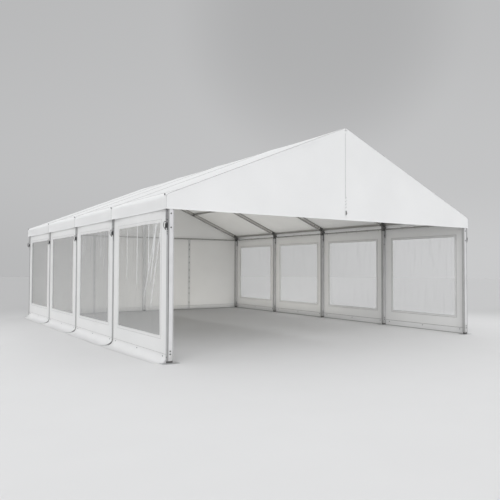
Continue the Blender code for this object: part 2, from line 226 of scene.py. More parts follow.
floor_mesh = bpy.data.meshes.new("studio_floor")
bm = bmesh.new()
bmesh.ops.create_circle(bm, cap_ends=True, segments=96, radius=90)
bm.to_mesh(floor_mesh)
bm.free()
floor = bpy.data.objects.new("studio_floor", floor_mesh)
scene.collection.objects.link(floor)
floor_material, tree, shader = new_material("studio floor", Roughness=0.75, Specular_IOR_Level=0.2)
place = object_place(tree)
x, y, _ = split(tree, place)
away = vector_maths(tree, "DISTANCE", place, PALEST)
pale = ramp(tree, span(tree, away, 7.8, 17.2, smooth=True), (0.0, FLOOR_NEAR), (1.0, FLOOR_FAR))
bearing = vector_maths(tree, "DOT_PRODUCT", vector_maths(tree, "NORMALIZE", place), RIGHT_REAR)
far_right = times(tree, span(tree, bearing, 0.80, 0.95, smooth=True), span(tree, away, 9.0, 14.0))
pale = mix_colour(tree, far_right, pale, (0.50, 0.50, 0.50))
# Painted shade: under the tent's far half the floor is mixed up to a fifth of the way to dark grey, where the roof and
# walls shade it.
shaded_far_half = times(tree, span(tree, y, -3.0, 2.0, smooth=True), span(tree, y, 5.8, 6.4, 1.0, 0.0))
inside = span(tree, maths(tree, "ABSOLUTE", x), 3.2, 4.4, 0.20, 0.0, smooth=True)
pale = mix_colour(tree, times(tree, inside, shaded_far_half), pale, (0.10, 0.10, 0.10))
clouds = span(tree, noise(tree, place, 1.2, 3.0), 0.3, 0.7, 0.0, 0.05)
wire(tree, shader, Base_Color=mix_colour(tree, clouds, pale, (0.50, 0.50, 0.505)))
floor_mesh.materials.append(floor_material)

# %% Lights

key = bpy.data.objects.new("key_light", bpy.data.lights.new("key_light", "SUN"))
key.data.energy = 1.42
key.data.angle = math.radians(60)
key.rotation_euler = (math.radians(71), 0, math.radians(-34))
scene.collection.objects.link(key)


def area_light(name, watts, sizes, place, turn, colour=(1.0, 1.0, 1.0)):
    """A large soft light that no camera sees: inside for the light that the pale floor gives back, or low outside."""
    lamp = bpy.data.objects.new(name, bpy.data.lights.new(name, "AREA"))
    lamp.data.shape = "RECTANGLE"
    lamp.data.size, lamp.data.size_y = sizes
    lamp.data.energy = watts
    lamp.data.color = colour
    lamp.location, lamp.rotation_euler = place, (0, turn, 0)
    lamp.visible_camera = lamp.visible_glossy = lamp.visible_transmission = False
    scene.collection.objects.link(lamp)


QUARTER_TURN = math.pi / 2
for side in (-1, 1):
    area_light("eave_light", 2, (0.03, 11.8), (side * HALF_WIDTH, PORTAL_Y[2], 3.06), -side * QUARTER_TURN)
area_light("fill_up", 110, (8.2, 6.8), (0, PORTAL_Y[2] + 2.5, 0.03), 2 * QUARTER_TURN, (1.0, 0.972, 0.90))
area_light("right_wall_light", 21, (2.4, 11.0), (0, PORTAL_Y[2], 1.5), -QUARTER_TURN)
area_light("low_left_light", 580, (4.0, 15.0), (-24, PORTAL_Y[3] + 1.0, 2.2), -QUARTER_TURN)
scene.view_settings.view_transform = "Standard"
scene.cycles.transparent_max_bounces = 24

# %% [markdown]
# ## Shared effects
# Four effects return on several finishes, so each is a node group with its own sockets: a slow mottle, a plain
# weave, the fine lines that a die draws along an extrusion, and the dust that rain splashes up from the ground.

# %% Shader groups
def shader_group(name, inputs, outputs):
    """An empty shader group with float or vector sockets, and its input and output nodes."""
    group = bpy.data.node_groups.new(name, "ShaderNodeTree")
    for socket, start in inputs.items():
        kind = "NodeSocketVector" if start is None else "NodeSocketFloat"
        made = group.interface.new_socket(socket, in_out="INPUT", socket_type=kind)
        if start is not None:
            made.default_value = start
    for socket in outputs:
        group.interface.new_socket(socket, in_out="OUTPUT", socket_type="NodeSocketFloat")
    return group, group.nodes.new("NodeGroupInput").outputs, group.nodes.new("NodeGroupOutput").inputs


mottle, given, result = shader_group("mottle", {"Vector": None, "Scale": 3.0, "Low": 0.0, "High": 1.0}, ["Value"])
clouds = noise(mottle, given["Vector"], given["Scale"], 5.0)
mottle.links.new(span(mottle, clouds, 0.32, 0.68, given["Low"], given["High"]), result["Value"])

weave, given, result = shader_group("plain weave", {"Vector": None, "Threads": 900.0}, ["Height"])
parts = split(weave, given["Vector"])
warp, weft = [times(weave, parts[axis], given["Threads"], math.pi) for axis in "XY"]
over = times(weave, maths(weave, "SINE", warp), maths(weave, "COSINE", weft))
weave.links.new(maths(weave, "ABSOLUTE", over), result["Height"])

die_lines, given, result = shader_group("die lines", {"Vector": None, "Fineness": 700.0}, ["Height"])
die_lines.links.new(noise(die_lines, given["Vector"], given["Fineness"], 2.0), result["Height"])

splash, given, result = shader_group("ground splash", {"Vector": None, "Reach": 0.35}, ["Mask"])
near = span(splash, split(splash, given["Vector"])["Z"], 0.0, given["Reach"], 1.0, 0.0)
spots = span(splash, noise(splash, given["Vector"], 14.0, 6.0), 0.38, 0.72)
splash.links.new(times(splash, maths(splash, "POWER", near, 2.0), spots), result["Mask"])
print("groups:", [group.name for group in (mottle, weave, die_lines, splash)])


def use_group(tree, group, **values):
    """The first output of a group placed in a tree, with its inputs linked or set by name."""
    made = tree.nodes.new("ShaderNodeGroup")
    made.node_tree = group
    for name, value in values.items():
        if isinstance(value, bpy.types.NodeSocket):
            tree.links.new(value, made.inputs[name])
        else:
            made.inputs[name].default_value = value
    return made.outputs[0]


def bump(tree, strength, height):
    """The normal of a surface that a height in metres raises."""
    made = add_node(tree, "ShaderNodeBump", ("Strength", strength), ("Distance", 1.0), ("Height", height))
    return made.outputs[0]


def dimmed(colour, share):
    return tuple(share * v for v in colour)


# %% [markdown]
# ## Coated fabric
# Marquee fabric is polyester yarn under a white vinyl coat: satin, faintly woven and slightly see-through to light.
# A Translucent shader mixed in behind the Principled one lets daylight glow through roof and walls, warmer than
# outside. Only a texture could print the weave on every sheet at one scale, so it follows a UV map cut in metres.

# %% Fabric
SPLASHED_WHITE, TOP_GREY = (0.60, 0.59, 0.56), (0.60, 0.605, 0.61)
THREADS_PER_METRE, THREAD_HEIGHT = 950.0, 0.00006


def coated_fabric(name, glow, ripple, whiteness=1.0, top_greying=0.0):
    """White coated cloth: the share of light that glows through it, the height of its slow waves in metres, how white
    it is, and how much greyer it is where it faces up, inward of the eaves."""
    material, tree, shader = new_material(name, Specular_IOR_Level=0.2)
    place = object_place(tree)
    dull, bright = [dimmed(colour, whiteness) for colour in ((0.845, 0.85, 0.855), (0.88, 0.885, 0.89))]
    white = ramp(tree, use_group(tree, mottle, Vector=place, Scale=0.9), (0.0, dull), (1.0, bright))
    dirt = use_group(tree, splash, Vector=place, Reach=0.30)
    white = mix_colour(tree, times(tree, dirt, 0.09), white, SPLASHED_WHITE)
    # Greyer where the cloth faces up, inward of the eaves.
    if top_greying:
        normal = add_node(tree, "ShaderNodeNewGeometry").outputs["Normal"]
        across = maths(tree, "ABSOLUTE", split(tree, place)["X"])
        inside_eave = span(tree, across, 4.02, 4.22, 1.0, 0.0)
        lies = times(tree, span(tree, split(tree, normal)["Z"], 0.4, 0.8, 0.0, top_greying), inside_eave)
        white = mix_colour(tree, lies, white, TOP_GREY)
    gloss = use_group(tree, mottle, Vector=place, Scale=6.0, Low=0.40, High=0.54)
    cut = add_node(tree, "ShaderNodeUVMap", uv_map="UVMap").outputs[0]
    threads = times(tree, use_group(tree, weave, Vector=cut, Threads=THREADS_PER_METRE), THREAD_HEIGHT)
    height = maths(tree, "MULTIPLY_ADD", noise(tree, place, 1.7, 2.0), ripple, threads)
    wire(tree, shader, Base_Color=white, Roughness=gloss, Normal=bump(tree, 0.6, height))
    through = add_node(tree, "ShaderNodeBsdfTranslucent", (0.80, 0.775, 0.71, 1))
    both = add_node(tree, "ShaderNodeMixShader", glow, shader.outputs[0], through.outputs[0])
    wire(tree, tree.nodes["Material Output"], Surface=both.outputs[0])
    return material


roof_fabric = coated_fabric("white roof fabric", 0.13, 0.006, 1.0, 0.12)
wall_fabric = coated_fabric("white wall fabric", 0.19, 0.004, 0.97)
hem_fabric = coated_fabric("white welded hem", 0.08, 0.001)
ring_fabric = coated_fabric("white window ring", 0.24, 0.001, 0.97)
# Painted shade: a fabric greyed to 70 % white and nearly opaque, for the laps behind the lacing and the front flaps'
# ends, which stand in shadow.
shade_grey_lap_fabric = coated_fabric("lacing lap greyed as painted shade", 0.03, 0.002, 0.70)

# %% [markdown]
# ## Clear window film
# The windows are soft vinyl film. It isn't glass: it hangs in long folds, it is a little grey, and a painted highlight
# runs white along the crest of each fold. Alpha lets most of the light pass, and rises in the folds and at a glancing
# angle.

# %% Film
def window_film(name, haze, glint_strength, tint):
    """Clear film with a haze all over it, and a painted highlight in white along the top of each fold."""
    material, tree, shader = new_material(name, Roughness=0.12, IOR=1.5, Metallic=0.15)
    cut = add_node(tree, "ShaderNodeUVMap", uv_map="UVMap").outputs[0]
    crest = add_node(tree, "ShaderNodeAttribute", attribute_name="crest").outputs["Fac"]
    broken = noise(tree, vector_maths(tree, "MULTIPLY", cut, (30.0, 4.0, 1.0)), 1.0, 3.0)
    # Painted highlight: along the folds' crests the film turns white and less clear, as if it caught the light.
    line = times(tree, crest, span(tree, broken, 0.36, 0.62, 0.6 * glint_strength, glint_strength))
    fine = noise(tree, vector_maths(tree, "MULTIPLY", cut, (4.0, 0.35, 1.0)), 2.0, 2.0)
    veil = span(tree, fine, 0.50, 0.75, 0.0, 0.05, smooth=True)
    grazing = add_node(tree, "ShaderNodeLayerWeight", 0.25).outputs["Fresnel"]
    plain = maths(tree, "ADD", maths(tree, "MULTIPLY_ADD", grazing, 0.17, haze), veil)
    alpha = maths(tree, "MINIMUM", maths(tree, "ADD", plain, line), 0.85)
    blotches = use_group(tree, mottle, Vector=object_place(tree), Scale=1.4)
    grey = ramp(tree, blotches, (0.0, dimmed(tint, 0.9)), (1.0, tint))
    glint_whitened = mix_colour(tree, maths(tree, "MINIMUM", times(tree, line, 2.0), 1.0), grey, (0.95, 0.96, 0.97))
    wire(tree, shader, Base_Color=glint_whitened, Alpha=alpha, Normal=bump(tree, 0.4, times(tree, fine, 0.006)))
    return material


left_film = window_film("clear film with folds", 0.08, 0.75, (0.68, 0.69, 0.695))
hazy_film = window_film("hazy film with folds", 0.27, 0.50, (0.585, 0.59, 0.595))
right_film = window_film("clear film", 0.04, 0.10, (0.88, 0.89, 0.90))

# %% [markdown]
# ## Metals, webbing and plastic
# The profiles are mill-finish aluminium: the die leaves fine lines along each length, so the same group is read with
# the coordinates squeezed along the post, the rail or the slope. Feet and brackets are galvanised, with spangle.

# %% Metals
GROOVE_IN = 0.0143  # from a corner of the profile to the middle of its bead groove
GROOVE_SHADE_BLACK, SHADE, FOOT_GREY = (0.05, 0.05, 0.048), (0.13, 0.13, 0.125), (0.34, 0.335, 0.32)


def bump_at(tree, value, centre, half):
    """1 at a centre, falling to 0 at half a width to each side."""
    off = maths(tree, "ABSOLUTE", maths(tree, "SUBTRACT", value, centre))
    return span(tree, off, half * 0.5, half, 1.0, 0.0)


def painted_groove_shade(tree, place, kind):
    """A mask of painted shade in the bead grooves near the profile's corners and along its edges: on posts it is weaker
    in the inner grooves and in the outer groove of the front right post.
    """
    x, y, z = split(tree, place)
    side = maths(tree, "ABSOLUTE", x)
    if kind == "post":
        across = maths(tree, "ABSOLUTE", maths(tree, "SUBTRACT", side, UPRIGHT_X))
    else:
        rise = maths(tree, "SUBTRACT", maths(tree, "MULTIPLY_ADD", side, SLOPE, z), KNEE_Z + UPRIGHT_X * SLOPE)
        across = maths(tree, "ABSOLUTE", times(tree, rise, math.cos(PITCH)))
    bay = maths(tree, "ABSOLUTE", maths(tree, "WRAP", maths(tree, "SUBTRACT", y, PORTAL_Y[2]), BAY / 2, -BAY / 2))
    groove = bump_at(tree, across, PROFILE_WIDTH / 2 - GROOVE_IN, 0.011)
    face = span(tree, bay, PROFILE_DEPTH / 2 - 0.009, PROFILE_DEPTH / 2 - 0.007)
    rim = span(tree, bay, PROFILE_DEPTH / 2 - 0.008, PROFILE_DEPTH / 2 - 0.001, 0.0, 0.75)
    edge = times(tree, span(tree, across, PROFILE_WIDTH / 2 - 0.002, PROFILE_WIDTH / 2 - 0.001), rim)
    if kind == "post":
        lit = span(tree, x, -1.0, 1.0, 1.0, 0.5)
        outside = span(tree, y, PORTAL_Y[0] + 0.5, PORTAL_Y[0] + 1.0, lit, 1.0)
        groove = times(tree, groove, span(tree, side, UPRIGHT_X - 0.01, UPRIGHT_X + 0.01, 0.25, outside))
        edge = times(tree, edge, span(tree, side, 2.0, 3.0))
    return maths(tree, "MAXIMUM", times(tree, groove, face), edge)


def post_shades(tree, place, metal):
    """A post's tones: painted shade behind the first portal, inside the tent, and on its outer and inner faces; darker
    towards its foot; and a dark knee joint. The gable post, in the middle, has no knee and no shaded side."""
    x, y, z = split(tree, place)
    across = maths(tree, "ABSOLUTE", x)
    beside = span(tree, across, 2.0, 3.0)
    inner_face = HALF_WIDTH - PROFILE_WIDTH
    outer = span(tree, across, HALF_WIDTH - 0.0015, HALF_WIDTH - 0.0005)
    inner = span(tree, across, inner_face + 0.0005, inner_face + 0.0015, 0.40, 0.0)
    joint = span(tree, z, KNEE_Z - 0.184, KNEE_Z - 0.180)
    # Painted shade behind the first portal and on the outer and inner faces; the foot grows darker towards the ground;
    # the top, at the knee joint, is dark metal.
    tones = (
        (span(tree, y, PORTAL_Y[0] + 0.5, PORTAL_Y[0] + 1.0, 0.0, 0.22), SHADE),
        (times(tree, outer, 0.65), (0.30, 0.30, 0.305)),
        (times(tree, inner, beside), SHADE),
        (span(tree, z, 0.06, 0.32, 0.32, 0.0), FOOT_GREY),
        (times(tree, joint, beside), (0.16, 0.16, 0.155)),
    )
    for share, tone in tones:
        metal = mix_colour(tree, share, metal, tone)
    return metal


def aluminium(name, kind, shade, metallic):
    """Extruded metal whose die lines run up a post, up the slope of a rafter, or along the tent."""
    material, tree, shader = new_material(name, Metallic=metallic, Specular_IOR_Level=0.5)
    place = object_place(tree)
    drawn_out = 0.006
    if kind == "rafter":
        x, y, z = split(tree, place)
        side = maths(tree, "ABSOLUTE", x)
        across = maths(tree, "MULTIPLY_ADD", side, SLOPE, z)
        drawn = add_node(tree, "ShaderNodeCombineXYZ", across, y, times(tree, side, drawn_out)).outputs[0]
    else:
        squeeze = (1.0, 1.0, drawn_out) if kind == "post" else (1.0, drawn_out, 1.0)
        drawn = vector_maths(tree, "MULTIPLY", place, squeeze)
    lines = use_group(tree, die_lines, Vector=drawn, Fineness=420.0)
    blotches = use_group(tree, mottle, Vector=place, Scale=4.0)
    metal = ramp(tree, blotches, (0.0, dimmed(shade, 0.9)), (1.0, shade))
    metal = mix_colour(tree, span(tree, lines, 0.35, 0.65, 0.0, 0.30), metal, dimmed(shade, 0.78))
    dirt = use_group(tree, splash, Vector=place, Reach=0.30)
    metal = mix_colour(tree, times(tree, dirt, 0.8), metal, FOOT_GREY)
    # Painted shade in the grooves and along the edges, where the profile's recesses would be in shadow.
    if kind != "rail":
        metal = mix_colour(tree, times(tree, painted_groove_shade(tree, place, kind), 0.88), metal, GROOVE_SHADE_BLACK)
    if kind == "post":
        metal = post_shades(tree, place, metal)
    gloss = span(tree, lines, 0.3, 0.7, 0.36, 0.50)
    wire(tree, shader, Base_Color=metal, Roughness=gloss, Normal=bump(tree, 0.35, times(tree, lines, 0.0003)))
    return material


def galvanised(name, colour, spangle, neck_shade=None):
    """Zinc flakes of two tones, and painted shade on a band just above the base plate, where a colour for it is given.
    """
    material, tree, shader = new_material(name, Metallic=0.9)
    place = object_place(tree)
    flakes = add_node(tree, "ShaderNodeTexVoronoi", place, ("Scale", spangle)).outputs["Color"]
    flake = add_node(tree, "ShaderNodeSeparateColor", flakes).outputs[0]
    zinc = mix_colour(tree, flake, dimmed(colour, 0.78), dimmed(colour, 1.12))
    # Painted shade: the band from about 1 cm to 8 cm up, just above the base plate, turns dark.
    if neck_shade:
        up = split(tree, place)["Z"]
        shaded_neck = times(tree, span(tree, up, 0.011, 0.014), span(tree, up, 0.05, 0.08, 1.0, 0.0))
        zinc = mix_colour(tree, shaded_neck, zinc, neck_shade)
    wire(tree, shader, Base_Color=zinc, Roughness=span(tree, flake, 0.0, 1.0, 0.36, 0.58))
    return material


def moulded(name, colour, roughness):
    """A moulded or spun finish, a little uneven in tone and gloss."""
    material, tree, shader = new_material(name)
    place = object_place(tree)
    shade = use_group(tree, mottle, Vector=place, Scale=60.0)
    gloss = use_group(tree, mottle, Vector=place, Scale=200.0, Low=roughness - 0.08, High=roughness + 0.08)
    wire(tree, shader, Base_Color=mix_colour(tree, shade, dimmed(colour, 0.8), colour), Roughness=gloss)
    return material


post_metal = aluminium("aluminium post", "post", (0.82, 0.82, 0.83), 0.38)
rafter_metal = aluminium("aluminium rafter", "rafter", (0.66, 0.655, 0.635), 0.7)
rail_metal = aluminium("galvanised rail", "rail", (0.42, 0.415, 0.40), 0.75)
foot_metal = galvanised("galvanised steel", (0.58, 0.585, 0.59), 140.0, (0.16, 0.16, 0.155))
bolt_metal = galvanised("zinc plated steel", (0.13, 0.135, 0.14), 420.0)
ring_metal = moulded("blackened ring steel", (0.10, 0.10, 0.10), 0.45)
dark_plastic = moulded("black moulded plastic", (0.035, 0.036, 0.038), 0.5)
white_plastic = moulded("white moulded plastic", (0.74, 0.74, 0.74), 0.45)
# Dark grey: the lacing cord's own colour, and painted shade where it closes the hollows under the walls' turns.
lacing_cord_and_gap_shade = moulded("dark lacing cord and painted gap shade", (0.16, 0.16, 0.155), 0.7)
# A mid-grey cord: the seams' and welds' own cords, and a painted shadow line along the skirts' feet.
grey_cord_and_shadow_line = moulded("grey edge cord and painted shadow line", (0.40, 0.40, 0.39), 0.6)
pale_cord = moulded("pale edge cord", (0.62, 0.62, 0.62), 0.6)

webbing, tree, shader = new_material("grey webbing", Roughness=0.7, Sheen_Weight=0.2)
ribs = use_group(tree, weave, Vector=object_place(tree), Threads=500.0)
woven = mix_colour(tree, ribs, (0.13, 0.13, 0.135), (0.24, 0.24, 0.245))
wire(tree, shader, Base_Color=woven, Normal=bump(tree, 0.5, times(tree, ribs, 0.0006)))

# %% Finishes for the frame
for name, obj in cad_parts.items():
    if name.startswith(("upright", "gable_post")):
        finish, slot = post_metal, "aluminium"
    elif name.startswith("rafter"):
        finish, slot = rafter_metal, "aluminium"
    elif name.startswith("foot"):
        finish, slot = foot_metal, "steel"
    elif "purlin" in name or "rail" in name:
        finish, slot = rail_metal, "aluminium"
    else:
        continue
    obj.data.materials.clear()
    obj.data.materials.append(finish)

# %% [markdown]
# ## Cloth as a grid
# A sheet under tension is a grid of points that a formula moves: easy to keep exact along its welded edges, and easy
# to give folds that run where the load runs. Each sheet carries a UV map cut in metres and gets a thin Solidify.

# %% Mesh and piece helpers
def finish_piece(name, mesh, material, replaced=()):
    """An object at the origin that rides on the tent, in its material, standing for any CAD nodes named."""
    obj = bpy.data.objects.new(name, mesh)
    scene.collection.objects.link(obj)
    mesh.materials.clear()
    mesh.materials.append(material)
    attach(obj, "root")
    if replaced:
        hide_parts(*replaced)
    return obj


def grid_mesh(name, points, cut, keep=None, flip=False, marks=None):
    """A smooth mesh over rows and columns of points, less the cells left out, with places in the flat cut as UVs."""
    rows, columns = points.shape[:2]
    index = np.arange(rows * columns).reshape(rows, columns)
    corners = np.stack([index[:-1, :-1], index[:-1, 1:], index[1:, 1:], index[1:, :-1]], axis=-1)
    faces = corners[keep] if keep is not None else corners.reshape(-1, 4)
    if flip:
        faces = faces[:, ::-1]
    used, faces = np.unique(faces, return_inverse=True)
    faces = faces.reshape(-1, 4)
    mesh = bpy.data.meshes.new(name)
    mesh.from_pydata(points.reshape(-1, 3)[used].tolist(), [], faces.tolist())
    layer = mesh.uv_layers.new(name="UVMap")
    flat = cut.reshape(-1, 2)[used]
    layer.data.foreach_set("uv", flat[faces.reshape(-1)].astype(np.float32).ravel())
    for mark, values in (marks or {}).items():
        spots = mesh.attributes.new(mark, "FLOAT", "POINT")
        spots.data.foreach_set("value", values.reshape(-1)[used].astype(np.float32))
    mesh.shade_smooth()
    return mesh


def strip_mesh(name, strips):
    """A mesh of separate narrow grids, such as hems and straps, with UVs in metres along and across each."""
    made = bmesh.new()
    layer = made.loops.layers.uv.new("UVMap")
    for points in strips:
        verts = [[made.verts.new(tuple(map(float, p))) for p in row] for row in points]
        for i in range(len(verts) - 1):
            for j in range(len(verts[0]) - 1):
                face = made.faces.new((verts[i][j], verts[i][j + 1], verts[i + 1][j + 1], verts[i + 1][j]))
                face.smooth = True
                for loop in face.loops:
                    loop[layer].uv = (loop.vert.co.x + loop.vert.co.y, loop.vert.co.z)
    mesh = bpy.data.meshes.new(name)
    made.to_mesh(mesh)
    made.free()
    return mesh


def evaluated(mesh, modify):
    """The plain mesh that a modifier, added by modify, makes from a mesh."""
    holder = bpy.data.objects.new("holder", mesh)
    scene.collection.objects.link(holder)
    modify(holder)
    bpy.context.view_layer.update()
    made = bpy.data.meshes.new_from_object(holder.evaluated_get(bpy.context.evaluated_depsgraph_get()))
    bpy.data.objects.remove(holder, do_unlink=True)
    return made


def shell(mesh, thickness):
    """A sheet's mesh with its thickness to both sides, closed, and with crisp rims."""

    def modify(holder):
        modifier = holder.modifiers.new("Solidify", "SOLIDIFY")
        modifier.thickness = thickness
        modifier.offset = 0.0
        modifier.use_even_offset = True

    made = evaluated(mesh, modify)
    made.set_sharp_from_angle(angle=math.radians(40))
    return made


def cloth(name, mesh, thickness, material, replaced=()):
    """A fabric piece from a sheet's mesh, given its thickness."""
    return finish_piece(name, shell(mesh, thickness), material, replaced)


def sewn_strips(name, strips, thickness, material):
    return cloth(name, strip_mesh(name, strips), thickness, material)


def smoothstep(x):
    x = np.clip(x, 0.0, 1.0)
    return x * x * (3 - 2 * x)


def steps(*stops):
    """Places from the first stop to the last, each stretch split into the number that follows it."""
    places = [
        np.linspace(start, end, count, endpoint=False)
        for start, count, end in zip(stops[::2], stops[1::2], stops[2::2])
    ]
    return np.concatenate(places + [[stops[-1]]])


# %% [markdown]
# ## Roof
# The roof is one rule: an arch of two slopes that turns down over the eave into a valance, drawn along a bay and
# pulled in a little between the portals, because cloth that is tight both ways makes a saddle. A rule like that
# suits Geometry Nodes: the arch goes in as a line, and length, sag and bay come in as named inputs.

# %% Arch line
def roof_height(x, below=0.0):
    """The sheet's height over the slope at a distance from the ridge."""
    return RIDGE_Z - np.abs(x) * SLOPE - below / math.cos(PITCH)


def arch_points(below=0.0, end_z=VALANCE_BOTTOM):
    """The sheet's line in X and Z from the left valance's bottom over the ridge to the right one's."""
    radius = EAVE_RADIUS - below
    centre_x = VALANCE_X - EAVE_RADIUS
    centre_z = roof_height(centre_x) - EAVE_RADIUS / math.cos(PITCH)
    turn = np.linspace(0, math.pi / 2 - PITCH, 9)
    arc = [(centre_x + radius * math.cos(t), centre_z + radius * math.sin(t)) for t in turn]
    side = [(VALANCE_X - below, z) for z in np.linspace(end_z, arc[0][1], 6)[:-1]]
    slope_x = np.linspace(arc[-1][0], 0.03, 62)[1:]
    slope = [(x, float(roof_height(x, below))) for x in slope_x]
    crown = [(0.012, float(roof_height(0.012, below)) - 0.0035)]
    right = side + arc + slope + crown
    return [(-x, z) for x, z in right] + right[::-1]


arch = arch_points()
TUCK = 0.050  # how far a valance hangs back between two portals
eave_turn_z = max(z for x, z in arch if abs(x) > VALANCE_X - 1e-6)

# %% Geometry Nodes helpers
def geometry_tree(name, sizes):
    """A Geometry Nodes tree with a geometry in and out and named sizes, a material last."""
    tree = bpy.data.node_groups.new(name, "GeometryNodeTree")
    tree.interface.new_socket("Geometry", in_out="INPUT", socket_type="NodeSocketGeometry")
    for socket, start in sizes.items():
        kind = {int: "NodeSocketInt", float: "NodeSocketFloat"}.get(type(start), "NodeSocketObject")
        made = tree.interface.new_socket(socket, in_out="INPUT", socket_type=kind)
        if start is not None:
            made.default_value = start
    tree.interface.new_socket("Finish", in_out="INPUT", socket_type="NodeSocketMaterial")
    tree.interface.new_socket("Geometry", in_out="OUTPUT", socket_type="NodeSocketGeometry")
    return tree, tree.nodes.new("NodeGroupInput").outputs


def close_tree(tree, given, geometry):
    """Ends a tree with Realize Instances and Set Material."""
    real = add_node(tree, "GeometryNodeRealizeInstances", geometry)
    painted = add_node(tree, "GeometryNodeSetMaterial", ("Geometry", real.outputs[0]), ("Material", given["Finish"]))
    add_node(tree, "NodeGroupOutput", painted.outputs[0])


def grown_mesh(name, mesh, tree, material, **sizes):
    """The plain mesh that a Geometry Nodes tree makes from a mesh, with its inputs set before it is evaluated."""

    def modify(holder):
        modifier = holder.modifiers.new("Grow", "NODES")
        modifier.node_group = tree
        for item in tree.interface.items_tree:
            if item.in_out == "INPUT" and item.name in {**sizes, "Finish": material}:
                modifier[item.identifier] = {**sizes, "Finish": material}[item.name]

    made = evaluated(mesh, modify)
    made.name = name
    return made


def grown(name, mesh, tree, material, slot, replaced=(), **sizes):
    return finish_piece(name, grown_mesh(name, mesh, tree, material, **sizes), material, replaced)


# %% Roof tree
roof_tree, given = geometry_tree("tent roof bay", {"Start": 0.0, "End": 3.0, "Sag": 0.02, "Rows": 40})


def capture(tree, geometry, kind, value):
    """A geometry that carries a value along, and the value where it is carried."""
    made = tree.nodes.new("GeometryNodeCaptureAttribute")
    made.capture_items.new(kind, "Value")
    tree.links.new(geometry, made.inputs[0])
    tree.links.new(value, made.inputs[1])
    return made.outputs[0], made.outputs[1]


spot = add_node(roof_tree, "GeometryNodeInputPosition").outputs[0]
along = add_node(roof_tree, "GeometryNodeSplineParameter").outputs
arch_curve = add_node(roof_tree, "GeometryNodeMeshToCurve", given["Geometry"]).outputs[0]
arch_curve, arch_spot = capture(roof_tree, arch_curve, "VECTOR", spot)
arch_curve, arch_run = capture(roof_tree, arch_curve, "FLOAT", along["Length"])
rail = add_node(roof_tree, "GeometryNodeCurvePrimitiveLine", (0.0, 0.0, 0.0), (0.0, 1.0, 0.0)).outputs[0]
rail = add_node(roof_tree, "GeometryNodeResampleCurve", ("Curve", rail), ("Count", given["Rows"])).outputs[0]
rail, rail_share = capture(roof_tree, rail, "FLOAT", along["Factor"])
swept = add_node(roof_tree, "GeometryNodeCurveToMesh", ("Curve", rail), ("Profile Curve", arch_curve)).outputs[0]

# %% The roof's sag and tuck
x, _, z = split(roof_tree, arch_spot)
away = maths(roof_tree, "ABSOLUTE", x)
saddle = times(roof_tree, rail_share, maths(roof_tree, "SUBTRACT", 1.0, rail_share), 4.0)
from_eave = span(roof_tree, away, 4.46, 3.4, 0.0, 1.0, smooth=True)
from_ridge = span(roof_tree, away, 0.0, 0.8, 0.55, 1.0, smooth=True)
drop = times(roof_tree, times(roof_tree, from_eave, from_ridge), times(roof_tree, saddle, given["Sag"]))
low = span(roof_tree, z, VALANCE_BOTTOM, eave_turn_z, TUCK, 0.0)
flat_saddle = times(roof_tree, saddle, maths(roof_tree, "SUBTRACT", 2.0, saddle))
on_valance = maths(roof_tree, "GREATER_THAN", away, 4.5)
tuck = times(roof_tree, low, flat_saddle, maths(roof_tree, "SIGN", x), on_valance)
bay = maths(roof_tree, "SUBTRACT", given["End"], given["Start"])
y = maths(roof_tree, "MULTIPLY_ADD", rail_share, bay, given["Start"])
tucked, lowered = maths(roof_tree, "SUBTRACT", x, tuck), maths(roof_tree, "SUBTRACT", z, drop)
moved = add_node(roof_tree, "ShaderNodeCombineXYZ", tucked, y, lowered).outputs[0]
placed = add_node(roof_tree, "GeometryNodeSetPosition", ("Geometry", swept), ("Position", moved)).outputs[0]
flat = add_node(roof_tree, "ShaderNodeCombineXYZ", arch_run, y, 0.0).outputs[0]
stored = add_node(roof_tree, "GeometryNodeStoreNamedAttribute", data_type="FLOAT2", domain="CORNER")
roof_tree.links.new(placed, stored.inputs["Geometry"])
stored.inputs["Name"].default_value = "UVMap"
roof_tree.links.new(flat, next(s for s in stored.inputs if s.name == "Value" and s.enabled))
close_tree(roof_tree, given, add_node(roof_tree, "GeometryNodeSetShadeSmooth", stored.outputs[0]).outputs[0])

# %% Roof sheets
SEAM = 0.0038  # from a portal's centre to the edge of each sheet
ROOF_SAG, ROOF_ROWS, ROOF_HEM = 0.030, 40, 0.035
arch_mesh = bpy.data.meshes.new("arch")
arch_mesh.from_pydata([(x, 0, z) for x, z in arch], [(n, n + 1) for n in range(len(arch) - 1)], [])


def valance_hem(side, start, end):
    """The hem along a valance's bottom, tucked in between the portals as the valance is."""
    share = np.linspace(0, 1, ROOF_ROWS)
    arc = 4 * share * (1 - share)
    rows = []
    for z in (VALANCE_BOTTOM, VALANCE_BOTTOM + ROOF_HEM):
        tucked = TUCK * (eave_turn_z - z) / (eave_turn_z - VALANCE_BOTTOM) * arc * (2 - arc)
        rows.append(
            np.stack([side * (VALANCE_X - tucked), start + share * (end - start), np.full(ROOF_ROWS, z)], axis=-1)
        )
    return np.array(rows)


for number, (front, back) in enumerate(zip(PORTAL_Y, PORTAL_Y[1:]), 1):
    start = front - OVERHANG if number == 1 else front + SEAM
    end = back + OVERHANG if number == BAYS else back - SEAM
    name = f"roof_sheet_{number}"
    sizes = {"Start": start, "End": end, "Sag": ROOF_SAG, "Rows": ROOF_ROWS}
    plain = grown_mesh(name, arch_mesh.copy(), roof_tree, roof_fabric, **sizes)
    panel = cloth(name, plain, CLOTH, roof_fabric, [f"roof_panel_{number}"])
    hems = [valance_hem(side, start, end) for side in (-1, 1)]
    hem = sewn_strips(f"roof_hem_{number}", hems, HEM_CLOTH, hem_fabric)
print("roof sheet:", len(panel.data.polygons), "faces")

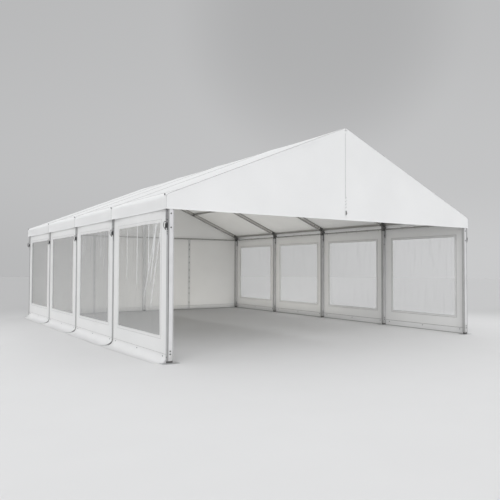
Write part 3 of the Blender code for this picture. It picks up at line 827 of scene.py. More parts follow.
# %% [markdown]
# ## Side walls
# Each bay's wall is one sheet. A bead down either end runs in the groove of an upright, a clear film is welded behind
# a hole in the middle, and the foot turns out over the ground as a flap. It is flat along its welds and slack between
# them. A simulation would put the folds where it likes, so here each fold is a line of numbers: written down one by
# one for the nearest bay, and drawn with a fixed seed for the others.

# %% Wall grid
WALL_HALF = BAY / 2 - PROFILE_DEPTH / 2 - 0.0003
HOLE_HALF, HOLE_BOTTOM, HOLE_TOP = 1.14, 0.495, 2.685
WELD, HEM, TOP_HEM = 0.06, 0.04, 0.05
FOOT_HEM = 0.19  # the top of the hem above the turn
WINDOW_LAP = 0.03  # how far the film reaches past the hole
TURN_OUT, TURN_HEIGHT, FLAP_REACH = 0.22, 0.14, 0.305
GROUND = 0.0015  # the middle of the flap where it lies on the ground
FLAP_TOP = GROUND + TURN_HEIGHT
BACK_WALL_Y = PORTAL_Y[-1] + PROFILE_DEPTH / 2 + 0.004


def wall_rows(upper):
    """How far out, how high and how far down the cut each row of a wall is, from its top to the flap's edge."""
    turn = np.linspace(0, math.pi / 2, 9)[1:]
    out = np.concatenate(
        [np.zeros(len(upper)), TURN_OUT * (1 - np.cos(turn)), np.linspace(TURN_OUT, FLAP_REACH, 4)[1:]]
    )
    high = np.concatenate([upper, GROUND + TURN_HEIGHT * (1 - np.sin(turn)), np.full(3, GROUND)])
    return out, high, np.concatenate([[0], np.cumsum(np.hypot(np.diff(out), np.diff(high)))])


def flap_share(bay, along):
    """How much of its reach a side flap keeps: less towards the tent's ends, and tucked in before the next bay's."""
    if bay == BAYS:
        return 0.35 + 0.65 * smoothstep((WALL_HALF - along) / 0.75)
    tucked = 1 - 0.30 * smoothstep((along - WALL_HALF + 0.16) / 0.16)
    if bay == 1:
        tucked = tucked * (0.66 + 0.34 * smoothstep((along + WALL_HALF) / 2.6))
    return tucked


def hang(side, centre, along, out, high):
    """A wall's points in the world, from how far along it, how far out and how high they are."""
    if side == "back":
        return np.stack([along, BACK_WALL_Y + out, high], axis=-1)
    return np.stack([(WALL_X + out) * (1 if side == "right" else -1), centre + along, high], axis=-1)


# %% Folds
def wobble(t, seed, fastest=14.0):
    """A smooth wave between about -1 and 1, its own for each seed."""
    draw = random.Random(seed)
    waves = [(draw.uniform(2.0, fastest), draw.uniform(0, 6.28)) for _ in range(4)]
    return sum(np.sin(t * speed + start) for speed, start in waves) / 2.6


def relief(along, high, folds):
    """How far folds push the cloth out, and how sharp their crests are. A fold has a place at its top, a lean, a
    width, a height, a top and a bottom."""
    depth, crest = np.zeros_like(along), np.zeros_like(along)
    for place, lean, width, height, top, bottom in folds:
        across = (along - place - lean * (top - high)) / width
        reach = smoothstep((high - bottom) / 0.45) * smoothstep((top + 0.12 - high) / 0.12)
        depth += height * np.exp(-(across**2)) * reach
        crest = np.maximum(crest, np.exp(-((across * 1.7) ** 2)) * reach * min(1.0, max(height, 0) / 0.012))
    return depth, crest


def seeded_folds(seed, count, height):
    draw = random.Random(seed)
    return [
        (
            draw.uniform(-1.05, 1.05),
            draw.uniform(-0.05, 0.05),
            draw.uniform(0.03, 0.07),
            height * draw.uniform(0.4, 1.0),
            2.62,
            draw.uniform(1.3, 2.3),
        )
        for _ in range(count)
    ]


NEAR_FOLDS = [
    (0.63, 0.00, 0.022, 0.009, 2.62, 1.30),
    (0.03, 0.01, 0.024, 0.012, 2.88, 1.25),
    (-0.58, 0.00, 0.022, 0.012, 2.86, 1.50),
    (-1.07, 0.43, 0.034, 0.008, 2.86, 0.95),
    (-1.00, 0.24, 0.050, 0.007, 2.84, 1.30),
    (-0.30, 0.02, 0.026, 0.007, 2.88, 2.35),
    (-0.82, 0.03, 0.024, 0.008, 2.90, 2.40),
    (-1.12, 0.30, 0.040, 0.008, 2.45, 0.85),
    (-0.84, 0.08, 0.030, 0.006, 2.60, 1.70),
    (-0.93, 0.36, 0.030, 0.006, 2.62, 1.50),
    (0.40, 0.00, 0.050, -0.007, 2.70, 1.60),
    (-0.35, 0.02, 0.060, -0.008, 2.70, 1.40),
]
FOLDS = {
    ("left", 1): NEAR_FOLDS,
    ("left", 2): [
        (0.72, 0.0, 0.025, 0.006, 2.55, 2.00),
        (0.25, 0.0, 0.022, 0.005, 2.52, 1.95),
        (-0.55, 0.0, 0.026, 0.009, 2.66, 1.85),
    ] + seeded_folds(22, 5, 0.004),
    ("left", 3): [(0.75, 0.02, 0.035, 0.007, 2.30, 1.95)] + seeded_folds(23, 4, 0.003),
    ("left", 4): seeded_folds(24, 3, 0.002),
    ("right", 1): [
        (0.55, -0.55, 0.05, 0.003, 2.60, 1.70),
        (-0.15, -0.48, 0.05, 0.003, 2.55, 1.50),
        (-0.60, -0.35, 0.04, 0.003, 2.50, 1.60),
    ],
    ("right", 2): seeded_folds(32, 3, 0.002),
    ("right", 3): seeded_folds(33, 2, 0.002),
    ("right", 4): seeded_folds(34, 2, 0.002),
}
print("folds:", {f"{side} {bay}": len(folds) for (side, bay), folds in FOLDS.items()})


# %% Walls, hems and windows
def slack(side, bay, along, high, share):
    """How far a side wall stands out of its plane: a slow billow, and its folds at a share of their height."""
    held = smoothstep((WALL_HALF - np.abs(along)) / 0.16) * smoothstep((high - FLAP_TOP) / 0.4)
    held = held * smoothstep((WALL_TOP - high) / 0.12)
    billow = 0.005 * wobble(along, 40 + bay + 10 * (side == "right"), 3.0) * (0.7 + 0.3 * wobble(high, 50 + bay, 3.0))
    depth, crest = relief(along, high, FOLDS[side, bay])
    return held * (billow + share * depth), crest


def wavy_edge(side, bay, along, high):
    """The hole's edges aren't ruled lines: each place near them is moved a few millimetres in the sheet's plane."""
    size = 0.007 if side == "left" and bay < 4 else 0.003
    near_side = np.exp(-(((np.abs(along) - HOLE_HALF) / 0.12) ** 2)) * smoothstep((high - 0.2) / 0.3)
    near_top = np.exp(-(((high - HOLE_TOP) / 0.12) ** 2)) * smoothstep((WALL_HALF - np.abs(along)) / 0.2)
    seed = 60 + bay + 10 * (side == "right")
    moved_along = along + size * near_side * wobble(high, seed) * np.sign(along)
    return moved_along, high + 1.2 * size * near_top * wobble(along, seed + 5, 22.0)


wall_columns = steps(
    -WALL_HALF, 1, -(WALL_HALF - HEM), 7, -(HOLE_HALF + WELD), 1, -HOLE_HALF, 96,
    HOLE_HALF, 1, HOLE_HALF + WELD, 7, WALL_HALF - HEM, 1, WALL_HALF,
)
wall_upper = steps(
    WALL_TOP, 1, WALL_TOP - TOP_HEM, 8, HOLE_TOP + WELD, 1, HOLE_TOP, 36,
    HOLE_BOTTOM, 1, HOLE_BOTTOM - WELD, 5, FOOT_HEM, 1, FLAP_TOP,
)


def wall_grid(columns, upper):
    """How far along, out, high and down the cut each point of a wall is."""
    out_row, high_row, run_row = wall_rows(upper)
    along, out = np.meshgrid(columns, out_row)
    high, run = [np.meshgrid(columns, row)[1] for row in (high_row, run_row)]
    return along, out, high, run


def cell_middles(values):
    return (values[:-1, :-1] + values[1:, 1:]) / 2


def in_window(along, high, beyond=0.0):
    """Which places lie in the window's hole, or no further than that beyond it."""
    return (np.abs(along) < HOLE_HALF + beyond) & (high > HOLE_BOTTOM - beyond) & (high < HOLE_TOP + beyond)


def in_hems(along, high, start, end):
    """Which places lie in a wall's hems: at both ends, along the top, and above the turn at the foot."""
    at_foot = (high > FLAP_TOP) & (high < FOOT_HEM)
    return (along < start + HEM) | (along > end - HEM) | (high > WALL_TOP - TOP_HEM) | at_foot


def flap_edge(along, out, seed):
    """How near the flap's outer edge each point is, from 0 to 1, and how far it waves off the ground there."""
    share = smoothstep((out - 0.1) / 0.2)
    return share, 0.004 * share * np.maximum(1 + wobble(along, seed, 6.0), 0)


# %% Side walls
weld_lines = []


def welded_share(side, bay):
    """The share of the film's folds that its wall follows: most in the nearest bay."""
    return 0.85 if (side, bay) == ("left", 1) else 0.45


def weld_line(points, side):
    """The line round a window's weld, on the wall's inner face."""
    first, last = [int(np.argmin(np.abs(wall_columns - end))) for end in (-HOLE_HALF - WELD, HOLE_HALF + WELD)]
    top, bottom = [int(np.argmin(np.abs(wall_upper - end))) for end in (HOLE_TOP + WELD, HOLE_BOTTOM - WELD)]
    across, down = points[top, first:last], points[top:bottom, last]
    back, up = points[bottom, last:first:-1], points[bottom:top:-1, first]
    return np.concatenate([across, down, back, up]) - np.array([0.0022 if side == "right" else -0.0022, 0, 0])


def side_wall(side, bay):
    """One bay's wall and its hems."""
    name, flip = f"{side}_wall_{bay}", side == "right"
    along, out, high, run = wall_grid(wall_columns, wall_upper)
    out = out * flap_share(bay, along)
    middles = cell_middles(along), cell_middles(high)
    in_hole = in_window(*middles)
    banded = (in_window(*middles, WELD) | in_hems(*middles, -WALL_HALF, WALL_HALF)) & ~in_hole
    moved_along, moved_high = wavy_edge(side, bay, along, high)
    edge_share, lift = flap_edge(along, out, 70 + bay)
    stand = slack(side, bay, along, high, welded_share(side, bay))[0]
    stand = out + stand + 0.008 * edge_share * wobble(along, 80 + bay, 5.0)
    points = hang(side, BAY_Y[bay - 1], moved_along, stand, moved_high + lift)
    cut = np.stack([along, run], axis=-1)
    wall = cloth(name, grid_mesh(name, points, cut, ~in_hole, flip), CLOTH, wall_fabric, [f"side_wall_{side}_{bay}"])
    hem = cloth(f"{name}_hems", grid_mesh(f"{name}_hems", points, cut, banded, flip), HEM_CLOTH, ring_fabric)
    weld_lines.append(weld_line(points, side))
    return wall


def window(side, bay):
    """The film behind a wall's hole: it keeps to the wall along its edges and folds more freely in the middle."""
    name, flip = f"{side}_window_{bay}", side == "right"
    film = right_film if flip else left_film if bay == 1 else hazy_film
    columns, rows = (150, 56) if (side, bay) == ("left", 1) else (90, 36)
    lap = HOLE_HALF + WINDOW_LAP
    places = np.linspace(-lap, lap, columns), np.linspace(HOLE_TOP + WINDOW_LAP, HOLE_BOTTOM - WINDOW_LAP, rows)
    along, high = np.meshgrid(*places)
    free = smoothstep((lap - np.abs(along)) / 0.12) * smoothstep((high - HOLE_BOTTOM + WINDOW_LAP) / 0.3)
    welded, crest = slack(side, bay, along, high, welded_share(side, bay))
    loose, _ = slack(side, bay, along, high, 1.0)
    points = hang(side, BAY_Y[bay - 1], along, welded + free * (loose - welded) - 0.0028, high)
    # The crests are kept as an attribute for the film's painted highlight.
    marks = {"crest": crest * smoothstep((lap - np.abs(along)) / 0.06)}
    mesh = grid_mesh(name, points, np.stack([along, high], axis=-1), None, flip, marks)
    pane = finish_piece(name, shell(mesh, FILM), film, [f"window_{side}_{bay}"])


def skirt(name, side, centre, start, end):
    """The strip inside a wall's turn: it goes straight down to the ground, so no gap shows from inside."""
    along, high = np.meshgrid(np.linspace(start, end, 30), [0.160, 0.110, 0.060, 0.012, 0.003])
    bent = np.where(high < 0.02, 0.004, 0.0)
    points = hang(side, centre, along, bent - 0.0026 + 0.0012 * wobble(along, 7, 9.0) * (high < 0.13), high)
    mesh = grid_mesh(name, points, np.stack([along, high], axis=-1), None, side == "right")
    cloth(name, mesh, CLOTH, wall_fabric)


every_wall = [(side, bay) for side in ("left", "right") for bay in range(1, BAYS + 1)]
for side, bay in every_wall:
    wall = side_wall(side, bay)
    window(side, bay)
for side, bay in every_wall:
    skirt(f"{side}_skirt_{bay}", side, BAY_Y[bay - 1], -WALL_HALF + 0.004, WALL_HALF - 0.004)
print("side wall:", len(wall.data.polygons), "faces")


# %% Painted shade at the flaps' front ends
def shade_gusset(sign, bay):
    """A strip across the front end of a flap's turn, broad in the middle: painted shade, a sheet put where the hollow
    under the turn shows in shadow.
    """
    keep = float(flap_share(bay, np.array(-WALL_HALF)))
    broad = 0.100 if bay == 1 else 0.085
    y = BAY_Y[bay - 1] - WALL_HALF - 0.002
    first, last = 0.3, math.pi / 2
    outer, inner = [], []
    for t in np.linspace(first, last, 14):
        reach, up = keep * TURN_OUT * (1 - math.cos(t)), TURN_HEIGHT * (1 - math.sin(t))
        far = math.hypot(reach, up)
        wide = min(0.003 + broad * math.sin(math.pi * (t - first) / (last - first)), far) / far
        outer.append((sign * (WALL_X + reach), y, GROUND + up))
        inner.append((sign * (WALL_X + reach * (1 - wide)), y, GROUND + up * (1 - wide)))
    return np.array([outer, inner])


front_shade_gussets = [shade_gusset(sign, 1) for sign in (-1, 1)]
shade_gussets = [shade_gusset(sign, bay) for sign in (-1, 1) for bay in range(2, BAYS + 1)]
print("flap ends:", len(front_shade_gussets) + len(shade_gussets))

# %% [markdown]
# ## Closed end
# The back wall is three sheets laced together, with the same hems and the same flap as the side walls, and a strip
# welded outside each joint so that rain can't blow through the lacing.

# %% Back wall
BACK_JOINT = 2.07
LACE_GAP = 0.003
back_upper = steps(WALL_TOP, 1, WALL_TOP - TOP_HEM, 26, FOOT_HEM, 1, FLAP_TOP)


def back_wall(place, start, end, seed):
    """One sheet of the back wall and its hems."""
    name = f"back_sheet_{place}"
    columns = steps(start, 1, start + HEM, int((end - start) / 0.08), end - HEM, 1, end)
    along, out, high, run = wall_grid(columns, back_upper)
    held = smoothstep((along - start) / 0.2) * smoothstep((end - along) / 0.2)
    held = held * smoothstep((high - FLAP_TOP) / 0.3) * smoothstep((WALL_TOP - high) / 0.15)
    depth = held * (0.006 + 0.006 * wobble(along * 0.8, seed, 5.0) * (0.8 + 0.2 * wobble(high, seed + 1, 3.0)))
    _, lift = flap_edge(along, out, seed + 2)
    points = hang("back", 0, along, out + depth, high + lift)
    cut = np.stack([along, run], axis=-1)
    banded = in_hems(cell_middles(along), cell_middles(high), start, end)
    sheet = cloth(name, grid_mesh(name, points, cut), CLOTH, wall_fabric, [f"back_wall_{place}"])
    hem = cloth(f"{name}_hems", grid_mesh(f"{name}_hems", points, cut, banded), HEM_CLOTH, hem_fabric)


def joint_strip(x, y, half, heights):
    """A strip along an upright joint, half as wide to each side: it faces the front, or the back if half is below 0."""
    return np.array([[(x + across, y, z) for across in (-half, half)] for z in heights])


corner = WALL_X + 0.004
back_wall("left", -corner, -BACK_JOINT - LACE_GAP, 91)
back_wall("middle", -BACK_JOINT + LACE_GAP, BACK_JOINT - LACE_GAP, 94)
back_wall("right", BACK_JOINT + LACE_GAP, corner, 97)
skirt("back_skirt", "back", 0, -corner + 0.005, corner - 0.005)
flaps = [joint_strip(x, BACK_WALL_Y + 0.0035, -0.045, steps(3.0, 20, 0.16)) for x in (-BACK_JOINT, BACK_JOINT)]
sewn_strips("back_rain_flaps", flaps, CLOTH, wall_fabric)
print("back wall: joints at x =", (-BACK_JOINT, BACK_JOINT))

# %% [markdown]
# ## Gables
# A gable is a triangle of fabric whose top edge follows the roof's line and whose lower edge is level with the
# valances. The front one is made in two halves that are laced together in the middle, over a strip.

# %% Gable sheets
GABLE_OFF = OVERHANG - 0.003
GABLE_BELOW = 0.0024
eave_centre_x = VALANCE_X - EAVE_RADIUS
eave_centre_z = float(roof_height(eave_centre_x)) - EAVE_RADIUS / math.cos(PITCH)


def under_roof(x):
    """The height of a gable's upper edge, straight up the slope and round at the eave."""
    radius = EAVE_RADIUS - GABLE_BELOW
    reach = np.clip(np.abs(x) - eave_centre_x, 0, radius)
    turned = eave_centre_z + np.sqrt(np.maximum(radius**2 - reach**2, 0))
    return np.where(reach > radius * math.sin(PITCH), turned, roof_height(x, GABLE_BELOW))


def gable(name, columns, y, flip, replaced):
    share = np.concatenate([[0, 0], np.linspace(0, 1, 27)[1:]])[:, None]
    x = np.broadcast_to(columns, (len(share), len(columns)))
    top = under_roof(x)
    z = VALANCE_BOTTOM + share * (top - VALANCE_BOTTOM)
    z[1] = VALANCE_BOTTOM + 0.03
    z[2:] = VALANCE_BOTTOM + 0.03 + share[2:] * (top[2:] - VALANCE_BOTTOM - 0.03)
    slackness = smoothstep((top - z) / 0.3) * smoothstep((z - VALANCE_BOTTOM) / 0.2) * smoothstep(np.abs(x) / 0.3)
    stand = 0.006 * slackness * wobble(x * 0.6 + z * 0.5, 101, 5.0)
    points = np.stack([x, y + stand, z], axis=-1)
    cut = np.stack([x, z], axis=-1)
    low = np.zeros((len(share) - 1, len(columns) - 1), bool)
    low[0] = True
    sheet = cloth(name, grid_mesh(name, points, cut, None, flip), CLOTH, roof_fabric, [replaced])
    hem = cloth(f"{name}_hem", grid_mesh(f"{name}_hem", points, cut, low, flip), HEM_CLOTH, hem_fabric)
    return sheet


edge = VALANCE_X - GABLE_BELOW
half_columns = steps(-edge, 10, -eave_centre_x, 56, -0.006)
front_y, back_y = PORTAL_Y[0] - GABLE_OFF, PORTAL_Y[-1] + GABLE_OFF
gable("front_gable_left", half_columns, front_y, False, "front_gable")
gable("front_gable_right", -half_columns[::-1], front_y, False, "front_gable")
back_columns = steps(-edge, 10, -eave_centre_x, 110, eave_centre_x, 10, edge)
gable("back_gable_sheet", back_columns, back_y, True, "back_gable")
seam_strip = joint_strip(0, front_y + 0.0032, 0.04, steps(VALANCE_BOTTOM, 18, RIDGE_Z - 0.06))
sewn_strips("gable_strip", [seam_strip], CLOTH, hem_fabric)
print("gable: 2 x", round(edge, 3), "m wide,", round(RIDGE_Z - VALANCE_BOTTOM, 3), "m high")

# %% [markdown]
# ## Beads, rings and laces
# Everything round and long is the same rule: a line with a circle swept along it. The beads in the grooves, the cord
# along the gables' edges, the pull rings, the hooks on the rails and the lacing are all lines given to one tree.

# %% Round cord tree
cord_tree, given = geometry_tree("round cord", {"Radius": 0.004, "Sides": 8})
line = add_node(cord_tree, "GeometryNodeMeshToCurve", given["Geometry"]).outputs[0]
section = add_node(
    cord_tree, "GeometryNodeCurvePrimitiveCircle", ("Resolution", given["Sides"]), ("Radius", given["Radius"])
).outputs[0]
swept = add_node(
    cord_tree, "GeometryNodeCurveToMesh", ("Curve", line), ("Profile Curve", section), ("Fill Caps", True)
).outputs[0]
close_tree(cord_tree, given, add_node(cord_tree, "GeometryNodeSetShadeSmooth", swept).outputs[0])


def cords(name, lines, radius, material, slot, closed=False, sides=8):
    """One piece of round cord along each line of points."""
    points, links = [], []
    for line in lines:
        first = len(points)
        points += [tuple(map(float, p)) for p in line]
        links += [(n, n + 1) for n in range(first, len(points) - 1)]
        if closed:
            links.append((len(points) - 1, first))
    mesh = bpy.data.meshes.new(name)
    mesh.from_pydata(points, links, [])
    return grown(name, mesh, cord_tree, material, slot, Radius=radius, Sides=sides)


# %% Beads and edge cords
BEAD_IN = 0.0042
bead_heights = steps(0.15, 12, 2.985)
bead_places = [(side, y + end * (WALL_HALF + BEAD_IN)) for y in BAY_Y for side in (-1, 1) for end in (-1, 1)]
bead_places += [(side, PORTAL_Y[-1] + PROFILE_DEPTH / 2 - BEAD_IN) for side in (-1, 1)]
beads = [[(side * WALL_X, y, z) for z in bead_heights] for side, y in bead_places]
cords("wall_beads", beads, 0.0036, hem_fabric, "fabric")
welts = [[(x, y, z) for x, z in arch_points(-0.0016)] for y in PORTAL_Y[1:-1]]
cords("roof_seam_welts", welts, 0.0050, grey_cord_and_shadow_line, "fabric")
edges = [[(x, y, z) for x, z in arch_points(0.006)] for y in (front_y - 0.001, back_y + 0.001)]
cords("gable_edge_cords", edges, 0.0034, pale_cord, "fabric")
EAVE_LINE_X = 4.27
eave_line_z = float(roof_height(EAVE_LINE_X)) + 0.001
eave_lines = [[(side * EAVE_LINE_X, y, eave_line_z) for y in steps(front_y, 40, back_y)] for side in (-1, 1)]
cords("eave_pocket_lines", eave_lines, 0.0045, pale_cord, "fabric", sides=6)
cords("window_weld_lines", weld_lines, 0.0045, grey_cord_and_shadow_line, "fabric", closed=True, sides=6)


# %% Lines along the walls' feet
def foot_lines(z, side_in, back_in):
    """A line inside every wall at one height, a few millimetres in from the cloth."""
    end = WALL_HALF - 0.02
    lines = [
        [(side * (WALL_X - side_in), y + s, z) for s in np.linspace(-end, end, 9)]
        for side in (-1, 1)
        for y in BAY_Y
    ]
    return lines + [[(x, BACK_WALL_Y - back_in, z) for x in np.linspace(-corner + 0.02, corner - 0.02, 41)]]


cords("wall_hem_lines", foot_lines(0.165, 0.0030, 0.0050), 0.0060, grey_cord_and_shadow_line, "fabric", sides=6)
# Painted shadow: a grey cord along the foot of each skirt draws the dark line where the cloth meets the floor.
cords("skirt_foot_cords", foot_lines(0.009, 0.0050, 0.0050), 0.0080, grey_cord_and_shadow_line, "fabric", sides=6)
# Painted shade: dark strips at the front ends of bays 2 to 4, grey ones at the front bay.
sewn_strips("flap_end_gussets", shade_gussets, 0.002, lacing_cord_and_gap_shade)
sewn_strips("front_flap_gussets", front_shade_gussets, 0.002, shade_grey_lap_fabric)


# %% Lacing
LOOP = ((-0.016, 0, 0), (-0.012, 0.005, 0.004), (0, 0.007, 0.016), (0.012, 0.005, 0.028), (0.016, 0, 0.032))
LOOSE_END = ((0, 0.008, 0), (0.004, 0.016, -0.03), (-0.003, 0.014, -0.075))
FRONT_ENDS = (
    ((0, 0.007, 0), (0.004, 0.016, -0.04), (-0.004, 0.015, -0.10)),
    ((0.002, 0.007, 0), (0.012, 0.014, -0.04), (0.015, 0.013, -0.08)),
)
LOOSE_END_Z = (2.83, 2.62, 2.30, 2.05, 1.73, 1.40, 1.23, 0.95, 0.73, 0.33)


def cord_from(x, y, z, shape):
    """A short run of cord, whose points are given across, towards the front and up from a place."""
    return [(x + across, y - forward, z + up) for across, forward, up in shape]


def laced(x, y, start, end, pitch):
    """Short loops of cord across a joint, one above the other."""
    return [cord_from(x, y, start + n * pitch, LOOP) for n in range(int((end - start) / pitch) + 1)]


back_lacing = [loop for x in (-BACK_JOINT, BACK_JOINT) for loop in laced(x, BACK_WALL_Y - 0.001, 0.2, 2.95, 0.12)]
front_lacing = laced(0, front_y - 0.001, 3.20, 3.50, 0.075)
seam_line = [[(-0.012, front_y - 0.003, z) for z in steps(3.45, 12, RIDGE_Z - 0.14)]]
cords("gable_seam_line", seam_line, 0.0060, pale_cord, "fabric", sides=6)
ties = [cord_from(x, BACK_WALL_Y, z, LOOSE_END) for x in (-BACK_JOINT, BACK_JOINT) for z in LOOSE_END_Z]
ties += [cord_from(0, front_y, 3.14, shape) for shape in FRONT_ENDS]
cords("lacing", back_lacing + front_lacing, 0.0028, lacing_cord_and_gap_shade, "fabric", sides=6)
cords("lacing_ties", ties, 0.010, lacing_cord_and_gap_shade, "fabric", sides=8)
# Painted shade: grey laps inside the back wall's joints stand for the shadowed overlap.
laps = [joint_strip(x, BACK_WALL_Y - 0.0042, 0.055, steps(3.0, 20, 0.05)) for x in (-BACK_JOINT, BACK_JOINT)]
sewn_strips("back_lacing_laps", laps, CLOTH, shade_grey_lap_fabric)
print("lacing:", len(back_lacing + front_lacing), "loops,", len(ties), "loose ends")

# %% Rings and hooks
RING_Z, RING_WIDE, RING_TALL = 2.614, 0.030, 0.066
rings = [
    [
        (side * (HALF_WIDTH + 0.018 + RING_WIDE * (1 + math.cos(t))), y + 0.004, RING_Z + RING_TALL * math.sin(t))
        for t in np.linspace(0, 2 * math.pi, 25)[:-1]
    ]
    for side in (-1, 1)
    for y in PORTAL_Y
]
cords("pull_rings", rings, 0.0070, ring_metal, "steel", closed=True)


def hook(place, out_x, out_y):
    """A curtain hook over a rail, down its outer side and into the wall's top hem."""
    over = [math.pi * (1.0 - t / 6) for t in range(7)]
    reach = [(0.0232 * math.cos(a), 0.0232 * math.sin(a)) for a in over]
    reach += [(0.0232, -0.012), (0.0225, -0.034), (0.027, -0.042)]
    return [(place[0] + out_x * across, place[1] + out_y * across, place[2] + up) for across, up in reach]


HOOKS_IN_BAY = (-1.25, -0.75, -0.25, 0.25, 0.75, 1.25)
HOOKS_AT_BACK = (0.3, 0.8, 1.4, 1.99, 2.15, 2.7, 3.3, 3.9)
hooks = [hook((side * RAIL_X, y + s, RAIL_Z), side, 0) for side in (-1, 1) for y in BAY_Y for s in HOOKS_IN_BAY]
back_hooks = [-x for x in HOOKS_AT_BACK[::-1]] + [*HOOKS_AT_BACK]
hooks += [hook((x, PORTAL_Y[-1] + 0.010, 3.035), 0, 1) for x in back_hooks]
cords("rail_hooks", hooks, 0.0038, bolt_metal, "steel", sides=6)
print("cords:", len(beads), "beads,", len(hooks), "hooks,", len(rings), "rings")

# %% [markdown]
# ## Fittings
# Bolts, brackets and ratchets repeat at every portal, so each is modelled once and set on a cloud of points. A point
# knows which way its fitting faces and which way the fitting's X runs, as two attributes that the tree reads.

# %% Fittings tree
def attribute(tree, name):
    made = add_node(tree, "GeometryNodeInputNamedAttribute", ("Name", name), data_type="FLOAT_VECTOR")
    return next(s for s in made.outputs if s.enabled and s.name == "Attribute")


fitting_tree, given = geometry_tree("fittings on points", {"Fitting": None})
turned = add_node(
    fitting_tree, "FunctionNodeAlignRotationToVector", ("Vector", attribute(fitting_tree, "facing")), axis="Z"
).outputs[0]
turned = add_node(
    fitting_tree,
    "FunctionNodeAlignRotationToVector",
    ("Rotation", turned),
    ("Vector", attribute(fitting_tree, "along")),
    axis="X",
    pivot_axis="Z",
).outputs[0]
shape = add_node(fitting_tree, "GeometryNodeObjectInfo", ("Object", given["Fitting"])).outputs["Geometry"]
spread = add_node(
    fitting_tree,
    "GeometryNodeInstanceOnPoints",
    ("Points", given["Geometry"]),
    ("Instance", shape),
    ("Rotation", turned),
).outputs[0]
close_tree(fitting_tree, given, spread)


def fittings(name, build, places, material, slot):
    """One piece: a fitting modelled by build, repeated at places given as (point, facing, along)."""
    bm = bmesh.new()
    build(bm)
    shape_mesh = bpy.data.meshes.new("fitting")
    bm.to_mesh(shape_mesh)
    bm.free()
    shape_mesh.set_sharp_from_angle(angle=math.radians(35))
    shape = bpy.data.objects.new("fitting", shape_mesh)
    scene.collection.objects.link(shape)
    cloud = bpy.data.meshes.new("places")
    cloud.from_pydata([tuple(point) for point, _, _ in places], [], [])
    for attribute_name, column in (("facing", 1), ("along", 2)):
        layer = cloud.attributes.new(attribute_name, "FLOAT_VECTOR", "POINT")
        layer.data.foreach_set("vector", [float(v) for row in places for v in row[column]])
    piece = grown(name, cloud, fitting_tree, material, slot, Fitting=shape)
    bpy.data.objects.remove(shape, do_unlink=True)
    return piece


def add_box(bm, size, centre, bevel=0.001):
    made = bmesh.ops.create_cube(bm, size=1, matrix=Matrix.LocRotScale(Vector(centre), None, Vector(size)))
    edges = {edge for vert in made["verts"] for edge in vert.link_edges}
    bmesh.ops.bevel(bm, geom=list(edges), offset=bevel, segments=1, affect="EDGES")


def add_disc(bm, radius, top_radius, depth, centre, sides, axis="Z"):
    turn = Matrix.Rotation(math.pi / 2, 4, "X") if axis == "Y" else Matrix.Identity(4)
    radii = {"radius1": radius, "radius2": top_radius}
    place = Matrix.Translation(centre) @ turn
    bmesh.ops.create_cone(bm, cap_ends=True, segments=sides, depth=depth, matrix=place, **radii)


# %% Bolts
def hex_bolt(bm):
    """A washer, a head with its top rounded off, and the end of the thread."""
    add_disc(bm, 0.0150, 0.0150, 0.0030, (0, 0, 0.0015), 14)
    add_disc(bm, 0.0105, 0.0105, 0.0060, (0, 0, 0.0058), 6)
    add_disc(bm, 0.0105, 0.0085, 0.0014, (0, 0, 0.0093), 6)
    add_disc(bm, 0.0058, 0.0050, 0.0040, (0, 0, 0.0115), 8)


UP, DOWN = Vector((0, 0, 1)), Vector((0, 0, -1))
FOOT_BOLT_Z, POST_BOLT_Z = (0.231, 0.175), (2.835, 2.57)
FRONT_FACE, BACK_FACE = (PORTAL_Y[0], -1), (PORTAL_Y[-1], 1)  # a gable lies on each of them
slope_up = {side: Vector((-side * math.cos(PITCH), 0, math.sin(PITCH))) for side in (-1, 1)}
portal_faces = [(y, facing) for y in PORTAL_Y for facing in (-1, 1) if (y, facing) != BACK_FACE]
inner_faces = [face for face in portal_faces if face != FRONT_FACE]
bolts = []
for y, facing in portal_faces:
    face_y, out = y + facing * PROFILE_DEPTH / 2, (0, facing, 0)
    knees = [Vector((side * UPRIGHT_X, face_y, KNEE_Z)) for side in (-1, 1)]
    apex = Vector((0, face_y, KNEE_Z + UPRIGHT_X * SLOPE))
    for side, knee in zip((-1, 1), knees):
        bolts += [((side * UPRIGHT_X, face_y, z), out, UP) for z in POST_BOLT_Z + FOOT_BOLT_Z]
        if (y, facing) in inner_faces:
            bolts += [(knee + slope_up[side] * run, out, slope_up[side]) for run in (0.24, 0.43)]
            bolts += [(apex - slope_up[side] * run, out, slope_up[side]) for run in (0.18, 0.32)]
bolts += [((0, PORTAL_Y[-1] - PROFILE_DEPTH / 2, z), (0, -1, 0), UP) for z in (*FOOT_BOLT_Z, 4.75)]
fittings("frame_bolts", hex_bolt, bolts, bolt_metal, "steel")


# %% Brackets
def angle_bracket(bm):
    """A plate on the portal's face and a tongue under the purlin, which lies along Z."""
    add_box(bm, (0.062, 0.092, 0.005), (0, 0, 0.0025), 0.0012)
    add_box(bm, (0.050, 0.005, 0.085), (0, 0.0335, 0.0425), 0.0012)
    for y in (-0.038, 0.018):
        add_disc(bm, 0.0080, 0.0080, 0.0050, (0.020, y, 0.0070), 6)
    add_disc(bm, 0.0080, 0.0080, 0.0050, (0, 0.0385, 0.055), 6, "Y")


brackets = []
mid_x, mid_z = [sum(corner[axis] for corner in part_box("mid_purlin_right")) / 2 for axis in (0, 2)]
for y, facing in inner_faces:
    out, face_y = Vector((0, facing, 0)), y + facing * PROFILE_DEPTH / 2
    brackets.append(((0, face_y, 5.03), out, DOWN.cross(out)))
    for side in (-1, 1):
        down = -Vector((side * math.sin(PITCH), 0, math.cos(PITCH)))
        brackets.append(((side * EAVE_PURLIN_X, face_y, EAVE_PURLIN_Z), out, DOWN.cross(out)))
        brackets.append(((side * mid_x, face_y, mid_z), out, down.cross(out)))
fittings("purlin_brackets", angle_bracket, brackets, bolt_metal, "steel")


